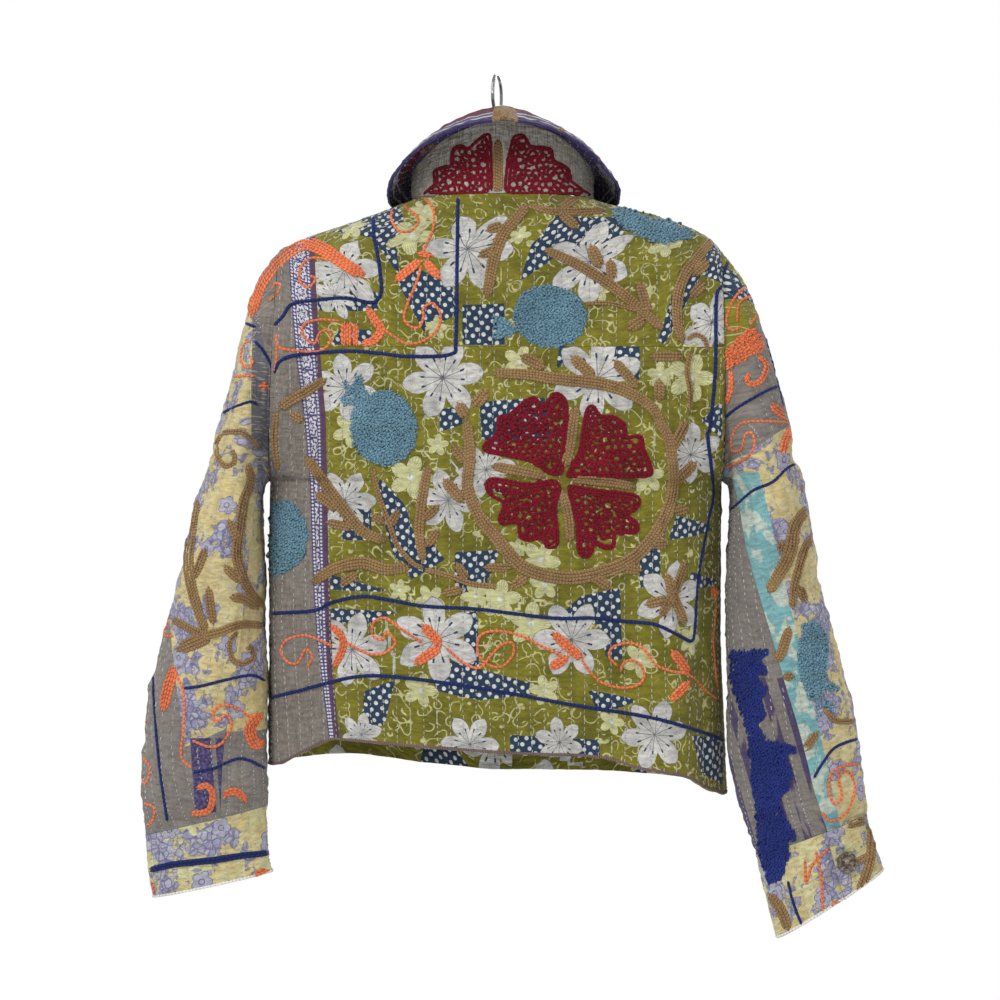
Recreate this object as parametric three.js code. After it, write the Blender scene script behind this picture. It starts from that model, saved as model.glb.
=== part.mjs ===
// A cropped kantha jacket, cut like a trucker jacket, hanging on a plain hanger. Millimetres, +Z up.
// The origin is the inside top of the hanger's hook. The back of the jacket faces -Y and its
// fronts face +Y, so the wearer's left is on the -X side.
import * as THREE from 'three';
import { mergeVertices } from 'three/addons/utils/BufferGeometryUtils.js';

const clothWall = 2.4;      // two quilted cotton layers
const seamGap = 0.3;        // between pieces that are sewn together
const quiltRise = 0.4;      // the rows of running stitch lie this far under or over the cloth
const neckZ = -116;         // the neck seam at the back and at the neck points
const yokeSeamZ = -257;
const shoulderZ = -163;     // the top of both armholes
const armpitZ = -380;
const hemZ = -650;          // the level that the hem's own heights are taken from
const armholeDepth = 56;    // half the armhole, front to back
const frontLap = 0.055;     // how far each front runs past the centre, as a share of the half width
const lapEase = { from: -0.13, to: -0.065 };      // where the under front steps in, across the body
const foldEase = { body: 0.1, sleeve: 0.12 };     // folds fade out this near to a seam
const sleeveSeamGap = 0.15;                       // degrees of gap on each side of a sleeve's seam
const cuffEase = { from: 4, to: 44 };             // degrees over which a cuff comes in past its lap
const cuffButtonDown = 0.52;                      // the button's place down the cuff
const buttonRadius = 9.5;

const colours = {
  olive: 0x7d7a1f, taupe: 0x8f887e, yellow: 0xd3c389, navyPrint: 0x4d5a3a, cuff: 0xcdbf8c,
  collar: 0x8c867f, metal: 0x5b5145, hangerBody: 0x2b2a29, chrome: 0xb8bbbf,
};

// ---- the body's form ----

// Horizontal sections of the body: its ends, how deep the back and the fronts are, and how full the
// section's curve is at its sides (1 is an ellipse, less is squarer).
const bodySections = [
  { z: -116, left: -80, right: 92, back: 62, front: 54, curve: 0.92 },
  { z: -122, left: -96, right: 112, back: 63, front: 55, curve: 0.92 },
  { z: -130, left: -116, right: 145, back: 64, front: 56, curve: 0.92 },
  { z: -139, left: -140, right: 174, back: 65, front: 57, curve: 0.91 },
  { z: -148, left: -170, right: 193, back: 66, front: 58, curve: 0.91 },
  { z: -157, left: -189, right: 205, back: 67, front: 59, curve: 0.9 },
  { z: -163, left: -203, right: 209, back: 68, front: 60, curve: 0.9 },
  { z: -257, left: -207.4, right: 209.9, back: 73, front: 66, curve: 0.85 },
  { z: -320, left: -210.3, right: 210.5, back: 79, front: 72, curve: 0.8 },
  { z: -380, left: -213, right: 211, back: 84, front: 76, curve: 0.76 },
  { z: -450, left: -214, right: 210, back: 87, front: 79, curve: 0.75 },
  { z: -520, left: -214, right: 210, back: 88, front: 81, curve: 0.77 },
  { z: -600, left: -214, right: 213, back: 86, front: 82, curve: 0.8 },
  { z: -700, left: -215, right: 217, back: 84, front: 83, curve: 0.85 },
];

// The height of each hem across the body, from its left end (-1) to its right end (1).
const backHem = [
  { across: -1, z: -646 }, { across: -0.85, z: -643 }, { across: -0.72, z: -630 },
  { across: -0.6, z: -619 }, { across: -0.4, z: -622 }, { across: 0, z: -629 },
  { across: 0.38, z: -635 }, { across: 0.54, z: -646 }, { across: 0.7, z: -653 },
  { across: 0.83, z: -667 }, { across: 0.93, z: -673 }, { across: 1, z: -671 },
];
const frontHem = [
  { across: -1, z: -646 }, { across: -0.6, z: -641 }, { across: -0.25, z: -651 },
  { across: 0, z: -657 }, { across: 0.4, z: -658 }, { across: 0.75, z: -662 },
  { across: 1, z: -671 },
];

// The front neck seam: its height at each place across, from the centre (0) to a neck point (1).
const frontNeck = [
  { across: 0, z: -189 }, { across: 0.06, z: -189 }, { across: 0.13, z: -178 },
  { across: 0.22, z: -157 },
  { across: 0.36, z: -138 }, { across: 0.48, z: -127 }, { across: 0.6, z: -121.5 },
  { across: 0.73, z: -118.5 }, { across: 0.86, z: -116.8 }, { across: 1, z: neckZ },
];

// Soft upright folds of the body: where each lies, how wide it is and how far it stands in or out.
const bodyFolds = [
  { side: 'back', across: -0.66, z: -640, width: 0.1, height: 120, out: -9 },
  { side: 'back', across: -0.86, z: -600, width: 0.07, height: 150, out: 6 },
  { side: 'back', across: -0.1, z: -650, width: 0.16, height: 90, out: 4 },
  { side: 'back', across: 0.36, z: -650, width: 0.12, height: 110, out: -6 },
  { side: 'back', across: 0.68, z: -640, width: 0.1, height: 150, out: 7 },
  { side: 'back', across: 0.86, z: -500, width: 0.06, height: 160, out: -5 },
  { side: 'back', across: -0.84, z: -330, width: 0.06, height: 90, out: -5 },
  { side: 'back', across: 0.84, z: -300, width: 0.06, height: 80, out: -4 },
  { side: 'front', across: -0.62, z: -640, width: 0.12, height: 150, out: 8 },
  { side: 'front', across: -0.3, z: -650, width: 0.09, height: 120, out: -6 },
  { side: 'front', across: 0.34, z: -650, width: 0.1, height: 140, out: 6 },
  { side: 'front', across: 0.66, z: -620, width: 0.1, height: 160, out: -7 },
  { side: 'front', across: -0.84, z: -340, width: 0.06, height: 100, out: -5 },
  { side: 'front', across: 0.84, z: -330, width: 0.06, height: 100, out: -5 },
];

// The two armholes are flat ovals: each lies in a plane that leans a little.
const armholes = {
  left: { xTop: -203, xBottom: -213, outward: -1 },
  right: { xTop: 209, xBottom: 211, outward: 1 },
};

// ---- the sleeves, cuffs and collar ----

// Sections of a sleeve, from the armhole to the cuff. Each is an oval between a point at the inside
// of the arm and one at the outside, both at midY; half is half its depth, and seam is where the back
// seam lies, in degrees round it.
const sleeveSections = {
  left: [
    { inX: -213, inZ: -380, outX: -203, outZ: -163, midY: 0, half: 56, seam: 200 },
    { inX: -217, inZ: -383, outX: -217, outZ: -180, midY: 0, half: 59, seam: 203 },
    { inX: -219, inZ: -390, outX: -228, outZ: -203, midY: -2, half: 62, seam: 206 },
    { inX: -220, inZ: -402, outX: -238, outZ: -243, midY: -4, half: 65, seam: 210 },
    { inX: -220, inZ: -420, outX: -251, outZ: -292, midY: -8, half: 66, seam: 215 },
    { inX: -218, inZ: -446, outX: -268, outZ: -352, midY: -13, half: 65, seam: 221 },
    { inX: -215, inZ: -480, outX: -284, outZ: -410, midY: -18, half: 62, seam: 228 },
    { inX: -213, inZ: -520, outX: -300, outZ: -470, midY: -23, half: 58, seam: 235 },
    { inX: -212, inZ: -563, outX: -314, outZ: -528, midY: -26, half: 52, seam: 241 },
    { inX: -212, inZ: -605, outX: -325, outZ: -585, midY: -28, half: 46, seam: 246 },
    { inX: -212, inZ: -640, outX: -331, outZ: -637, midY: -29, half: 40, seam: 250 },
    { inX: -212, inZ: -664, outX: -330, outZ: -678, midY: -30, half: 34, seam: 253 },
    { inX: -213, inZ: -681, outX: -327, outZ: -708, midY: -30, half: 27, seam: 255 },
  ],
  right: [
    { inX: 211, inZ: -380, outX: 209, outZ: -163, midY: 0, half: 56, seam: 196 },
    { inX: 216, inZ: -384, outX: 221, outZ: -176, midY: 0, half: 59, seam: 200 },
    { inX: 218, inZ: -392, outX: 235, outZ: -200, midY: -2, half: 62, seam: 205 },
    { inX: 218, inZ: -406, outX: 250, outZ: -241, midY: -4, half: 64, seam: 212 },
    { inX: 217, inZ: -427, outX: 265, outZ: -293, midY: -8, half: 65, seam: 221 },
    { inX: 214, inZ: -457, outX: 281, outZ: -360, midY: -13, half: 64, seam: 232 },
    { inX: 212, inZ: -493, outX: 295, outZ: -425, midY: -18, half: 61, seam: 245 },
    { inX: 211, inZ: -535, outX: 308, outZ: -487, midY: -23, half: 57, seam: 257 },
    { inX: 212, inZ: -580, outX: 322, outZ: -548, midY: -26, half: 52, seam: 266 },
    { inX: 215, inZ: -625, outX: 335, outZ: -604, midY: -28, half: 46, seam: 273 },
    { inX: 221, inZ: -668, outX: 342, outZ: -648, midY: -29, half: 40, seam: 278 },
    { inX: 231, inZ: -702, outX: 344, outZ: -674, midY: -30, half: 34, seam: 281 },
    { inX: 240.5, inZ: -727, outX: 343.5, outZ: -689, midY: -30, half: 27, seam: 284 },
  ],
};
const frontSeam = { top: 162, bottom: 118 };   // degrees round a sleeve, at the armhole and cuff

// Soft folds round the sleeves: along runs from 0 at the armhole to 1 at the cuff, round in degrees.
const sleeveFolds = [
  { sleeve: 'left', along: 0.3, round: 222, length: 0.2, spread: 16, out: -7 },
  { sleeve: 'left', along: 0.52, round: 262, length: 0.05, spread: 50, out: -5 },
  { sleeve: 'left', along: 0.66, round: 300, length: 0.06, spread: 45, out: -5 },
  { sleeve: 'left', along: 0.8, round: 240, length: 0.06, spread: 40, out: -4 },
  { sleeve: 'left', along: 0.6, round: 90, length: 0.07, spread: 50, out: -6 },
  { sleeve: 'right', along: 0.3, round: 215, length: 0.2, spread: 16, out: -6 },
  { sleeve: 'right', along: 0.46, round: 300, length: 0.06, spread: 40, out: -5 },
  { sleeve: 'right', along: 0.63, round: 235, length: 0.06, spread: 45, out: -5 },
  { sleeve: 'right', along: 0.84, round: 300, length: 0.05, spread: 45, out: -5 },
  { sleeve: 'right', along: 0.6, round: 80, length: 0.07, spread: 50, out: -6 },
];

// Each cuff is a band from the end of its sleeve down to this oval. lap is where its outer end lies,
// in degrees round it.
const cuffs = {
  left: {
    bottom: { inX: -208, inZ: -743, outX: -320, outZ: -767, midY: -31, half: 23 },
    lap: 62, lapLength: 34, button: 78,
  },
  right: {
    bottom: { inX: 260, inZ: -805, outX: 359, outZ: -741, midY: -31, half: 25 },
    lap: 282, lapLength: 36, button: 293,
  },
};

// The collar round the neck, from the centre back (0) by the neck point (1) to the centre front (2).
// It rises to its fold, leans out, and falls outward again to its edge; spread is along the edge.
const collarStations = [
  { at: 0, rise: 79, lean: -2, out: 42, drop: 15, spread: 0 },
  { at: 0.25, rise: 72, lean: -2, out: 42, drop: 16, spread: 0 },
  { at: 0.5, rise: 59, lean: -1, out: 38, drop: 20, spread: 1 },
  { at: 0.75, rise: 40, lean: 0, out: 31, drop: 26, spread: 2 },
  { at: 1, rise: 26, lean: 1, out: 24, drop: 27, spread: 2 },
  { at: 1.2, rise: 23, lean: 1, out: 26, drop: 27, spread: 0 },
  { at: 1.4, rise: 20, lean: 1, out: 29, drop: 42, spread: -2 },
  { at: 1.6, rise: 18, lean: 1, out: 26, drop: 60, spread: -6 },
  { at: 1.8, rise: 17, lean: 1, out: 19, drop: 69, spread: -14 },
  { at: 2, rise: 16, lean: 1, out: 14, drop: 76, spread: -24 },
];

// The collar's profile: each place takes shares of a station's rise, lean, out and drop, and then
// some millimetres more. spread is the share of the station's spread along the collar.
const collarProfile = [
  { rise: 0, lean: 0, out: 0, drop: 0, moreOut: 0, moreUp: 0, spread: 0 },
  { rise: 0.36, lean: 0.4, out: 0, drop: 0, moreOut: 0, moreUp: 0, spread: 0 },
  { rise: 0.7, lean: 0.8, out: 0, drop: 0, moreOut: 0, moreUp: 0, spread: 0 },
  { rise: 1, lean: 1, out: 0, drop: 0, moreOut: 0, moreUp: -4, spread: 0 },
  { rise: 1, lean: 1, out: 0, drop: 0, moreOut: 1.3, moreUp: -1.1, spread: 0 },
  { rise: 1, lean: 1, out: 0, drop: 0, moreOut: 4, moreUp: 0, spread: 0 },
  { rise: 1, lean: 1, out: 0, drop: 0.02, moreOut: 7, moreUp: -1.2, spread: 0 },
  { rise: 1, lean: 0.5, out: 0.5, drop: 0.42, moreOut: 3.5, moreUp: -0.7, spread: 0.5 },
  { rise: 1, lean: 0, out: 1, drop: 1, moreOut: 0, moreUp: 0, spread: 1 },
];

// ---- interpolation ----

function smoothColumn(rows, key, name, at) {
  const last = rows.length - 1;
  const ascending = rows[last][key] > rows[0][key];
  const before = (value, row) => (ascending ? value <= row[key] : value >= row[key]);
  let k = 0;
  while (k < last - 1 && !before(at, rows[k + 1])) k += 1;
  const [a, b] = [rows[k], rows[k + 1]];
  const slope = (p, q) => (q[name] - p[name]) / (q[key] - p[key]);
  const middle = slope(a, b);
  const tangent = (p, q) => {
    const other = slope(p, q);
    return other * middle <= 0 ? 0 : (2 * other * middle) / (other + middle);
  };
  const start = k > 0 ? tangent(rows[k - 1], a) : middle;
  const end = k + 2 <= last ? tangent(b, rows[k + 2]) : middle;
  const width = b[key] - a[key];
  const t = THREE.MathUtils.clamp((at - a[key]) / width, 0, 1);
  const [t2, t3] = [t * t, t * t * t];
  return (2 * t3 - 3 * t2 + 1) * a[name] + (t3 - 2 * t2 + t) * width * start
    + (3 * t2 - 2 * t3) * b[name] + (t3 - t2) * width * end;
}

const mix = THREE.MathUtils.lerp;
const bump = (value, spread) => Math.exp(-(value * value) / (2 * spread * spread));

// ---- the body's surface ----

// Half the armhole's depth at a height: the body's sections end this far from the middle plane.
function armholeHalf(z) {
  const share = (z - (shoulderZ + armpitZ) / 2) / ((shoulderZ - armpitZ) / 2);
  return Math.abs(share) >= 1 ? 0 : armholeDepth * Math.sqrt(1 - share * share);
}

function armholeX(side, z) {
  const hole = armholes[side];
  return mix(hole.xTop, hole.xBottom, (z - shoulderZ) / (armpitZ - shoulderZ));
}

const sectionSteps = 96;
const sections = new Map();

// Half a section as a dense line from its left end to its right end, with its running length.
function halfSection(side, z) {
  const key = `${side} ${z.toFixed(4)}`;
  if (sections.has(key)) return sections.get(key);
  const inArmhole = z < shoulderZ && z > armpitZ;
  const left = inArmhole ? armholeX('left', z) : smoothColumn(bodySections, 'z', 'left', z);
  const right = inArmhole ? armholeX('right', z) : smoothColumn(bodySections, 'z', 'right', z);
  const depth = smoothColumn(bodySections, 'z', side, z);
  const curve = smoothColumn(bodySections, 'z', 'curve', z);
  const edge = armholeHalf(z);
  const line = [];
  let run = 0;
  for (let k = 0; k <= sectionSteps; k += 1) {
    const angle = (Math.PI * k) / sectionSteps;
    const x = (left + right) / 2 - ((right - left) / 2) * Math.cos(angle);
    const y = edge + (depth - edge) * Math.sin(angle) ** curve;
    if (k > 0) run += Math.hypot(x - line[k - 1].x, y - line[k - 1].y);
    line.push({ x, y, run });
  }
  sections.set(key, line);
  return line;
}

function foldDepth(side, across, z) {
  let out = 0;
  for (const fold of bodyFolds) {
    if (fold.side !== side) continue;
    out += fold.out * bump(across - fold.across, fold.width) * bump(z - fold.z, fold.height);
  }
  return out * Math.min(1, (1 - Math.abs(across)) / foldEase.body);
}

// A point of the body's outside: across runs from -1 at the left side to 1 at the right side.
function bodyPoint(side, across, z) {
  const line = halfSection(side, z);
  const length = ((across + 1) / 2) * line[sectionSteps].run;
  let k = 1;
  while (k < sectionSteps && line[k].run < length) k += 1;
  const [a, b] = [line[k - 1], line[k]];
  const share = (length - a.run) / (b.run - a.run);
  const away = Math.max(mix(a.y, b.y, share) + foldDepth(side, across, z), seamGap / 2);
  return new THREE.Vector3(mix(a.x, b.x, share), side === 'back' ? -away : away, z);
}

// ---- walls ----

// A closed wall between two grids of points, with rims along its four edges.
function wallGeometry(outer, inner) {
  const rows = outer.length;
  const columns = outer[0].length;
  const positions = [];
  const index = [];
  for (const grid of [outer, inner]) {
    for (const row of grid) {
      for (const point of row) positions.push(point.x, point.y, point.z);
    }
  }
  const out = (r, c) => r * columns + c;
  const into = (r, c) => rows * columns + r * columns + c;
  const quad = (a, b, c, d) => index.push(a, b, c, a, c, d);
  for (let r = 0; r < rows - 1; r += 1) {
    for (let c = 0; c < columns - 1; c += 1) {
      quad(out(r, c), out(r + 1, c), out(r + 1, c + 1), out(r, c + 1));
      quad(into(r, c), into(r, c + 1), into(r + 1, c + 1), into(r + 1, c));
    }
  }
  for (let c = 0; c < columns - 1; c += 1) {
    quad(out(0, c), out(0, c + 1), into(0, c + 1), into(0, c));
    quad(out(rows - 1, c), into(rows - 1, c), into(rows - 1, c + 1), out(rows - 1, c + 1));
  }
  for (let r = 0; r < rows - 1; r += 1) {
    quad(out(r, 0), into(r, 0), into(r + 1, 0), out(r + 1, 0));
    quad(out(r, columns - 1), out(r + 1, columns - 1), into(r + 1, columns - 1), into(r, columns - 1));
  }
  let volume = 0;
  const corner = (k) => new THREE.Vector3().fromArray(positions, 3 * index[k]);
  for (let k = 0; k < index.length; k += 3) {
    volume += corner(k).dot(corner(k + 1).cross(corner(k + 2)));
  }
  if (volume < 0) index.reverse();
  const geometry = new THREE.BufferGeometry();
  geometry.setAttribute('position', new THREE.Float32BufferAttribute(positions, 3));
  geometry.setIndex(index);
  geometry.computeVertexNormals();
  return geometry;
}

// The wall of a sewn piece. surface gives the outside without its quilting at (row, column), turn is
// 1 or -1 so that the thickness goes inward, and flatten names the directions that the thickness
// keeps clear of at an edge, so that two sewn edges meet face to face. topNormal, if there is one,
// gives the way out of the cloth along the first row.
function clothWallGeometry({
  rows, columns, surface, turn, flatten, topNormal, quilted = true,
}) {
  const outer = [];
  const inner = [];
  for (let r = 0; r < rows; r += 1) {
    outer.push([]);
    inner.push([]);
    for (let c = 0; c < columns; c += 1) {
      const down = surface(Math.min(r + 1, rows - 1), c).sub(surface(Math.max(r - 1, 0), c));
      const side = surface(r, Math.min(c + 1, columns - 1)).sub(surface(r, Math.max(c - 1, 0)));
      const normal = side.cross(down).normalize().multiplyScalar(turn);
      for (const direction of flatten(r, c)) normal.addScaledVector(direction, -normal.dot(direction));
      if (r === 0 && topNormal) normal.copy(topNormal(c));
      normal.normalize();
      const onEdge = r === 0 || c === 0 || r === rows - 1 || c === columns - 1;
      const stitched = c % 2 === 0 ? -quiltRise : quiltRise;
      const point = surface(r, c);
      outer[r].push(point.clone().addScaledVector(normal, quilted && !onEdge ? stitched : 0));
      inner[r].push(point.clone().addScaledVector(normal, -clothWall));
    }
  }
  return wallGeometry(outer, inner);
}

const axisY = new THREE.Vector3(0, 1, 0);
const axisZ = new THREE.Vector3(0, 0, 1);

function armholeNormal(side) {
  const hole = armholes[side];
  return new THREE.Vector3(shoulderZ - armpitZ, 0, hole.xBottom - hole.xTop).normalize();
}

// The direction across a side edge of the body: the armhole's plane, or else the middle plane.
function sideEdgeDirection(side, z) {
  return z < shoulderZ - 0.01 && z > armpitZ + 0.01 ? armholeNormal(side) : axisY;
}

const jacket = new THREE.Group();

function addPiece(name, geometry, colour, roughness = 0.92, metalness = 0) {
  const material = new THREE.MeshStandardMaterial({ color: colour, roughness, metalness });
  const mesh = new THREE.Mesh(geometry, material);
  mesh.name = name;
  jacket.add(mesh);
  return mesh;
}

// ---- the neck seam ----

const neckCentre = new THREE.Vector3(6, 0, 0);
const neckHalf = { across: 86, deep: 60 };
const collarSeamGap = { up: 0.6, inward: 0.8 };   // this seam twists, so it needs more room

function neckHeight(place) {
  if (place.side === 'back') return neckZ;
  return smoothColumn(frontNeck, 'across', 'z', Math.abs(place.across));
}

// The level direction out of the body at the neck seam: square to the section there.
function neckOutward(place) {
  const z = neckHeight(place);
  const span = 0.02;
  const at = (across) => bodyPoint(place.side, THREE.MathUtils.clamp(across, -1, 1), z);
  const tangent = at(place.across + span).sub(at(place.across - span));
  const outward = new THREE.Vector3(-tangent.y, tangent.x, 0);
  if (Math.abs(place.across) === 1) outward.setY(0);
  if (outward.dot(at(place.across).sub(neckCentre)) < 0) outward.negate();
  return outward.normalize();
}

// ---- back yoke and back panel ----

const bodyColumns = 33;
const yokeHeights = [
  neckZ, -121, -126, -132, -139, -147, -155, shoulderZ, -168, -177, -192, -213, -235,
  yokeSeamZ + seamGap / 2,
];
const lowerHeights = [
  yokeSeamZ - seamGap / 2, -285, -313, -338, -358, -372, armpitZ, -394, -420, -455, -495, -535,
  -572, -605, -630, hemZ,
];
const hemSpan = { from: -420 };   // below this height the rows are drawn out to the hem

// The height of a row of the body's lower part, once the hem's own line is allowed for.
function drawnToHem(z, hem, across) {
  if (z >= hemSpan.from) return z;
  const end = smoothColumn(hem, 'across', 'z', across);
  return hemSpan.from + ((z - hemSpan.from) * (end - hemSpan.from)) / (hemZ - hemSpan.from);
}

const acrossBody = (c) => mix(-1, 1, c / (bodyColumns - 1));

function sideFlatten(columns, heightAt, leftEdge, rightEdge) {
  return (r, c) => {
    if (c === 0 && leftEdge) return [sideEdgeDirection('left', heightAt(r))];
    if (c === columns - 1 && rightEdge) return [sideEdgeDirection('right', heightAt(r))];
    return [];
  };
}

function backYoke() {
  const rows = yokeHeights.length;
  const edges = sideFlatten(bodyColumns, (r) => yokeHeights[r], true, true);
  return clothWallGeometry({
    rows,
    columns: bodyColumns,
    surface: (r, c) => bodyPoint('back', acrossBody(c), yokeHeights[r]),
    turn: -1,
    topNormal: (c) => neckOutward({ side: 'back', across: acrossBody(c) }),
    flatten: (r, c) => edges(r, c).concat(r === 0 || r === rows - 1 ? [axisZ] : []),
  });
}

function backPanel() {
  const edges = sideFlatten(bodyColumns, (r) => lowerHeights[r], true, true);
  const height = (r, c) => drawnToHem(lowerHeights[r], backHem, acrossBody(c));
  return clothWallGeometry({
    rows: lowerHeights.length,
    columns: bodyColumns,
    surface: (r, c) => bodyPoint('back', acrossBody(c), height(r, c)),
    turn: -1,
    flatten: (r, c) => edges(r, c).concat(r === 0 ? [axisZ] : []),
  });
}

addPiece('back_yoke', backYoke(), colours.olive);
addPiece('back_panel', backPanel(), colours.olive);

// ---- fronts ----

const frontColumns = 18;
const frontHeights = yokeHeights.slice(0, -1).concat([yokeSeamZ], lowerHeights.slice(1));

// A row's height on a front: under the neck the rows start at the neck seam's own height.
function frontHeight(row, across) {
  const z = frontHeights[row];
  if (z <= yokeSeamZ) return drawnToHem(z, frontHem, across);
  const top = smoothColumn(frontNeck, 'across', 'z', Math.abs(across));
  return mix(top, yokeSeamZ, (z - neckZ) / (yokeSeamZ - neckZ));
}

// The left front lies under the right one at the centre, so it steps in there.
function lapStep(side, across) {
  if (side === 'right') return 0;
  const deep = clothWall + quiltRise * 2 + seamGap * 2;
  return deep * THREE.MathUtils.smoothstep(across, lapEase.from, lapEase.to);
}

function frontAcross(side, c) {
  const share = c / (frontColumns - 1);
  return side === 'left' ? mix(-1, frontLap, share) : mix(-frontLap, 1, share);
}

function frontPoint(side, across, row) {
  const point = bodyPoint('front', across, frontHeight(row, across));
  point.y -= lapStep(side, across);
  return point;
}

function frontPiece(side) {
  const edges = sideFlatten(
    frontColumns, (r) => frontHeights[r], side === 'left', side === 'right',
  );
  return clothWallGeometry({
    rows: frontHeights.length,
    columns: frontColumns,
    surface: (r, c) => frontPoint(side, frontAcross(side, c), r),
    turn: 1,
    topNormal: (c) => neckOutward({ side: 'front', across: frontAcross(side, c) }),
    flatten: edges,
  });
}

addPiece('left_front', frontPiece('left'), colours.navyPrint);
addPiece('right_front', frontPiece('right'), colours.navyPrint);

// ---- sleeves ----

const sleeveRows = 19;
const topSleeveColumns = 15;
const underSleeveColumns = 9;

function ovalPoint(section, degrees, grow = 0) {
  const angle = THREE.MathUtils.degToRad(degrees);
  const half = new THREE.Vector3(section.outX - section.inX, 0, section.outZ - section.inZ);
  half.multiplyScalar(0.5);
  const middle = new THREE.Vector3(section.inX, section.midY, section.inZ).add(half);
  const away = half.clone().setLength(half.length() + grow);
  return middle.addScaledVector(away, Math.cos(angle))
    .addScaledVector(axisY, (section.half + grow) * Math.sin(angle));
}

// The direction square to an oval's plane, pointing down the arm.
function ovalDown(section) {
  const down = new THREE.Vector3(section.outZ - section.inZ, 0, section.inX - section.outX);
  return down.multiplyScalar(-Math.sign(down.z)).normalize();
}

// A sleeve's section at any place along it, worked out between the rows of its table.
function sleeveSection(sleeve, along) {
  const table = sleeveSections[sleeve].map((row, k, all) => ({ along: k / (all.length - 1), ...row }));
  const section = {};
  for (const name of ['inX', 'inZ', 'outX', 'outZ', 'midY', 'half', 'seam']) {
    section[name] = smoothColumn(table, 'along', name, along);
  }
  return section;
}

function sleeveFoldOut(sleeve, along, degrees) {
  let out = 0;
  for (const fold of sleeveFolds) {
    if (fold.sleeve !== sleeve) continue;
    const turn = THREE.MathUtils.euclideanModulo(degrees - fold.round + 180, 360) - 180;
    out += fold.out * bump(along - fold.along, fold.length) * bump(turn, fold.spread);
  }
  return out * Math.min(1, along / foldEase.sleeve) * Math.min(1, (1 - along) / foldEase.sleeve);
}

function sleevePoint(sleeve, along, degrees) {
  const section = sleeveSection(sleeve, along);
  const point = ovalPoint(section, degrees, sleeveFoldOut(sleeve, along, degrees));
  if (along === 0) point.addScaledVector(armholeNormal(sleeve), armholes[sleeve].outward * seamGap * 1.5);
  return point;
}

// A sleeve is cut in two: the wide top sleeve, and the under sleeve on the side of the body.
function sleeveDegrees(sleeve, along, part, share) {
  const back = sleeveSection(sleeve, along).seam;
  const front = mix(frontSeam.top, frontSeam.bottom, along);
  return part === 'top'
    ? mix(back - 360 + sleeveSeamGap, front - sleeveSeamGap, share)
    : mix(front + sleeveSeamGap, back - sleeveSeamGap, share);
}

function sleevePiece(sleeve, part) {
  const columns = part === 'top' ? topSleeveColumns : underSleeveColumns;
  const along = (r) => r / (sleeveRows - 1);
  return clothWallGeometry({
    rows: sleeveRows,
    columns,
    surface: (r, c) => {
      const degrees = sleeveDegrees(sleeve, along(r), part, c / (columns - 1));
      return sleevePoint(sleeve, along(r), degrees);
    },
    turn: sleeve === 'left' ? 1 : -1,
    flatten: (r, c) => {
      const directions = [];
      if (r === 0) directions.push(armholeNormal(sleeve));
      if (r === sleeveRows - 1) directions.push(ovalDown(sleeveSections[sleeve].at(-1)));
      if (c !== 0 && c !== columns - 1) return directions;
      return directions.concat([seamDirection(sleeve, along(r), part, c === 0)]);
    },
  });
}

// The direction round the sleeve at one of its seams, which the seam's rims stand square to.
function seamDirection(sleeve, along, part, first) {
  const seamPart = part === 'top' ? first : !first;
  const section = sleeveSection(sleeve, along);
  const degrees = seamPart ? section.seam : mix(frontSeam.top, frontSeam.bottom, along);
  const direction = ovalPoint(section, degrees + 1).sub(ovalPoint(section, degrees - 1));
  return direction.normalize();
}

for (const sleeve of ['left', 'right']) {
  addPiece(`${sleeve}_top_sleeve`, sleevePiece(sleeve, 'top'), colours.yellow);
  addPiece(`${sleeve}_under_sleeve`, sleevePiece(sleeve, 'under'), colours.taupe);
}

// ---- cuffs ----

const cuffColumns = 31;
const cuffRows = 4;

for (const sleeve of ['left', 'right']) {
  const end = sleeveSections[sleeve].at(-1);
  const seam = ovalDown(end).multiplyScalar(seamGap);
  cuffs[sleeve].top = {
    ...end,
    inX: end.inX + seam.x,
    inZ: end.inZ + seam.z,
    outX: end.outX + seam.x,
    outZ: end.outZ + seam.z,
  };
}

function cuffPoint(cuff, down, degrees) {
  const section = {};
  for (const name of ['inX', 'inZ', 'outX', 'outZ', 'midY', 'half']) {
    section[name] = mix(cuff.top[name], cuff.bottom[name], down);
  }
  const pastLap = degrees - cuff.lap - cuff.lapLength;
  const step = (clothWall + seamGap * 3) * (1 - THREE.MathUtils.smoothstep(pastLap, cuffEase.from, cuffEase.to));
  return ovalPoint(section, degrees, step);
}

function cuffPiece(cuff) {
  return clothWallGeometry({
    rows: cuffRows,
    columns: cuffColumns,
    surface: (r, c) => {
      const degrees = cuff.lap + (360 + cuff.lapLength) * (c / (cuffColumns - 1));
      return cuffPoint(cuff, r / (cuffRows - 1), degrees);
    },
    turn: cuff.top.outX < 0 ? 1 : -1,
    flatten: (r) => (r === 0 ? [ovalDown(cuff.top)] : []),
    quilted: false,
  });
}

addPiece('left_cuff', cuffPiece(cuffs.left), colours.cuff);
addPiece('right_cuff', cuffPiece(cuffs.right), colours.cuff);

// ---- collar ----

// The places round the neck where the collar meets a corner of the fronts' or the yoke's grid.
const collarLine = [];
for (let c = frontColumns - 2; c > 0; c -= 1) {
  const across = frontAcross('left', c);
  collarLine.push({ side: 'front', across, at: -2 - across });
}
for (let c = 0; c < bodyColumns; c += 1) {
  collarLine.push({ side: 'back', across: acrossBody(c), at: acrossBody(c) });
}
for (let c = frontColumns - 2; c > 0; c -= 1) {
  const across = frontAcross('right', c);
  collarLine.push({ side: 'front', across, at: 2 - across });
}

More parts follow.
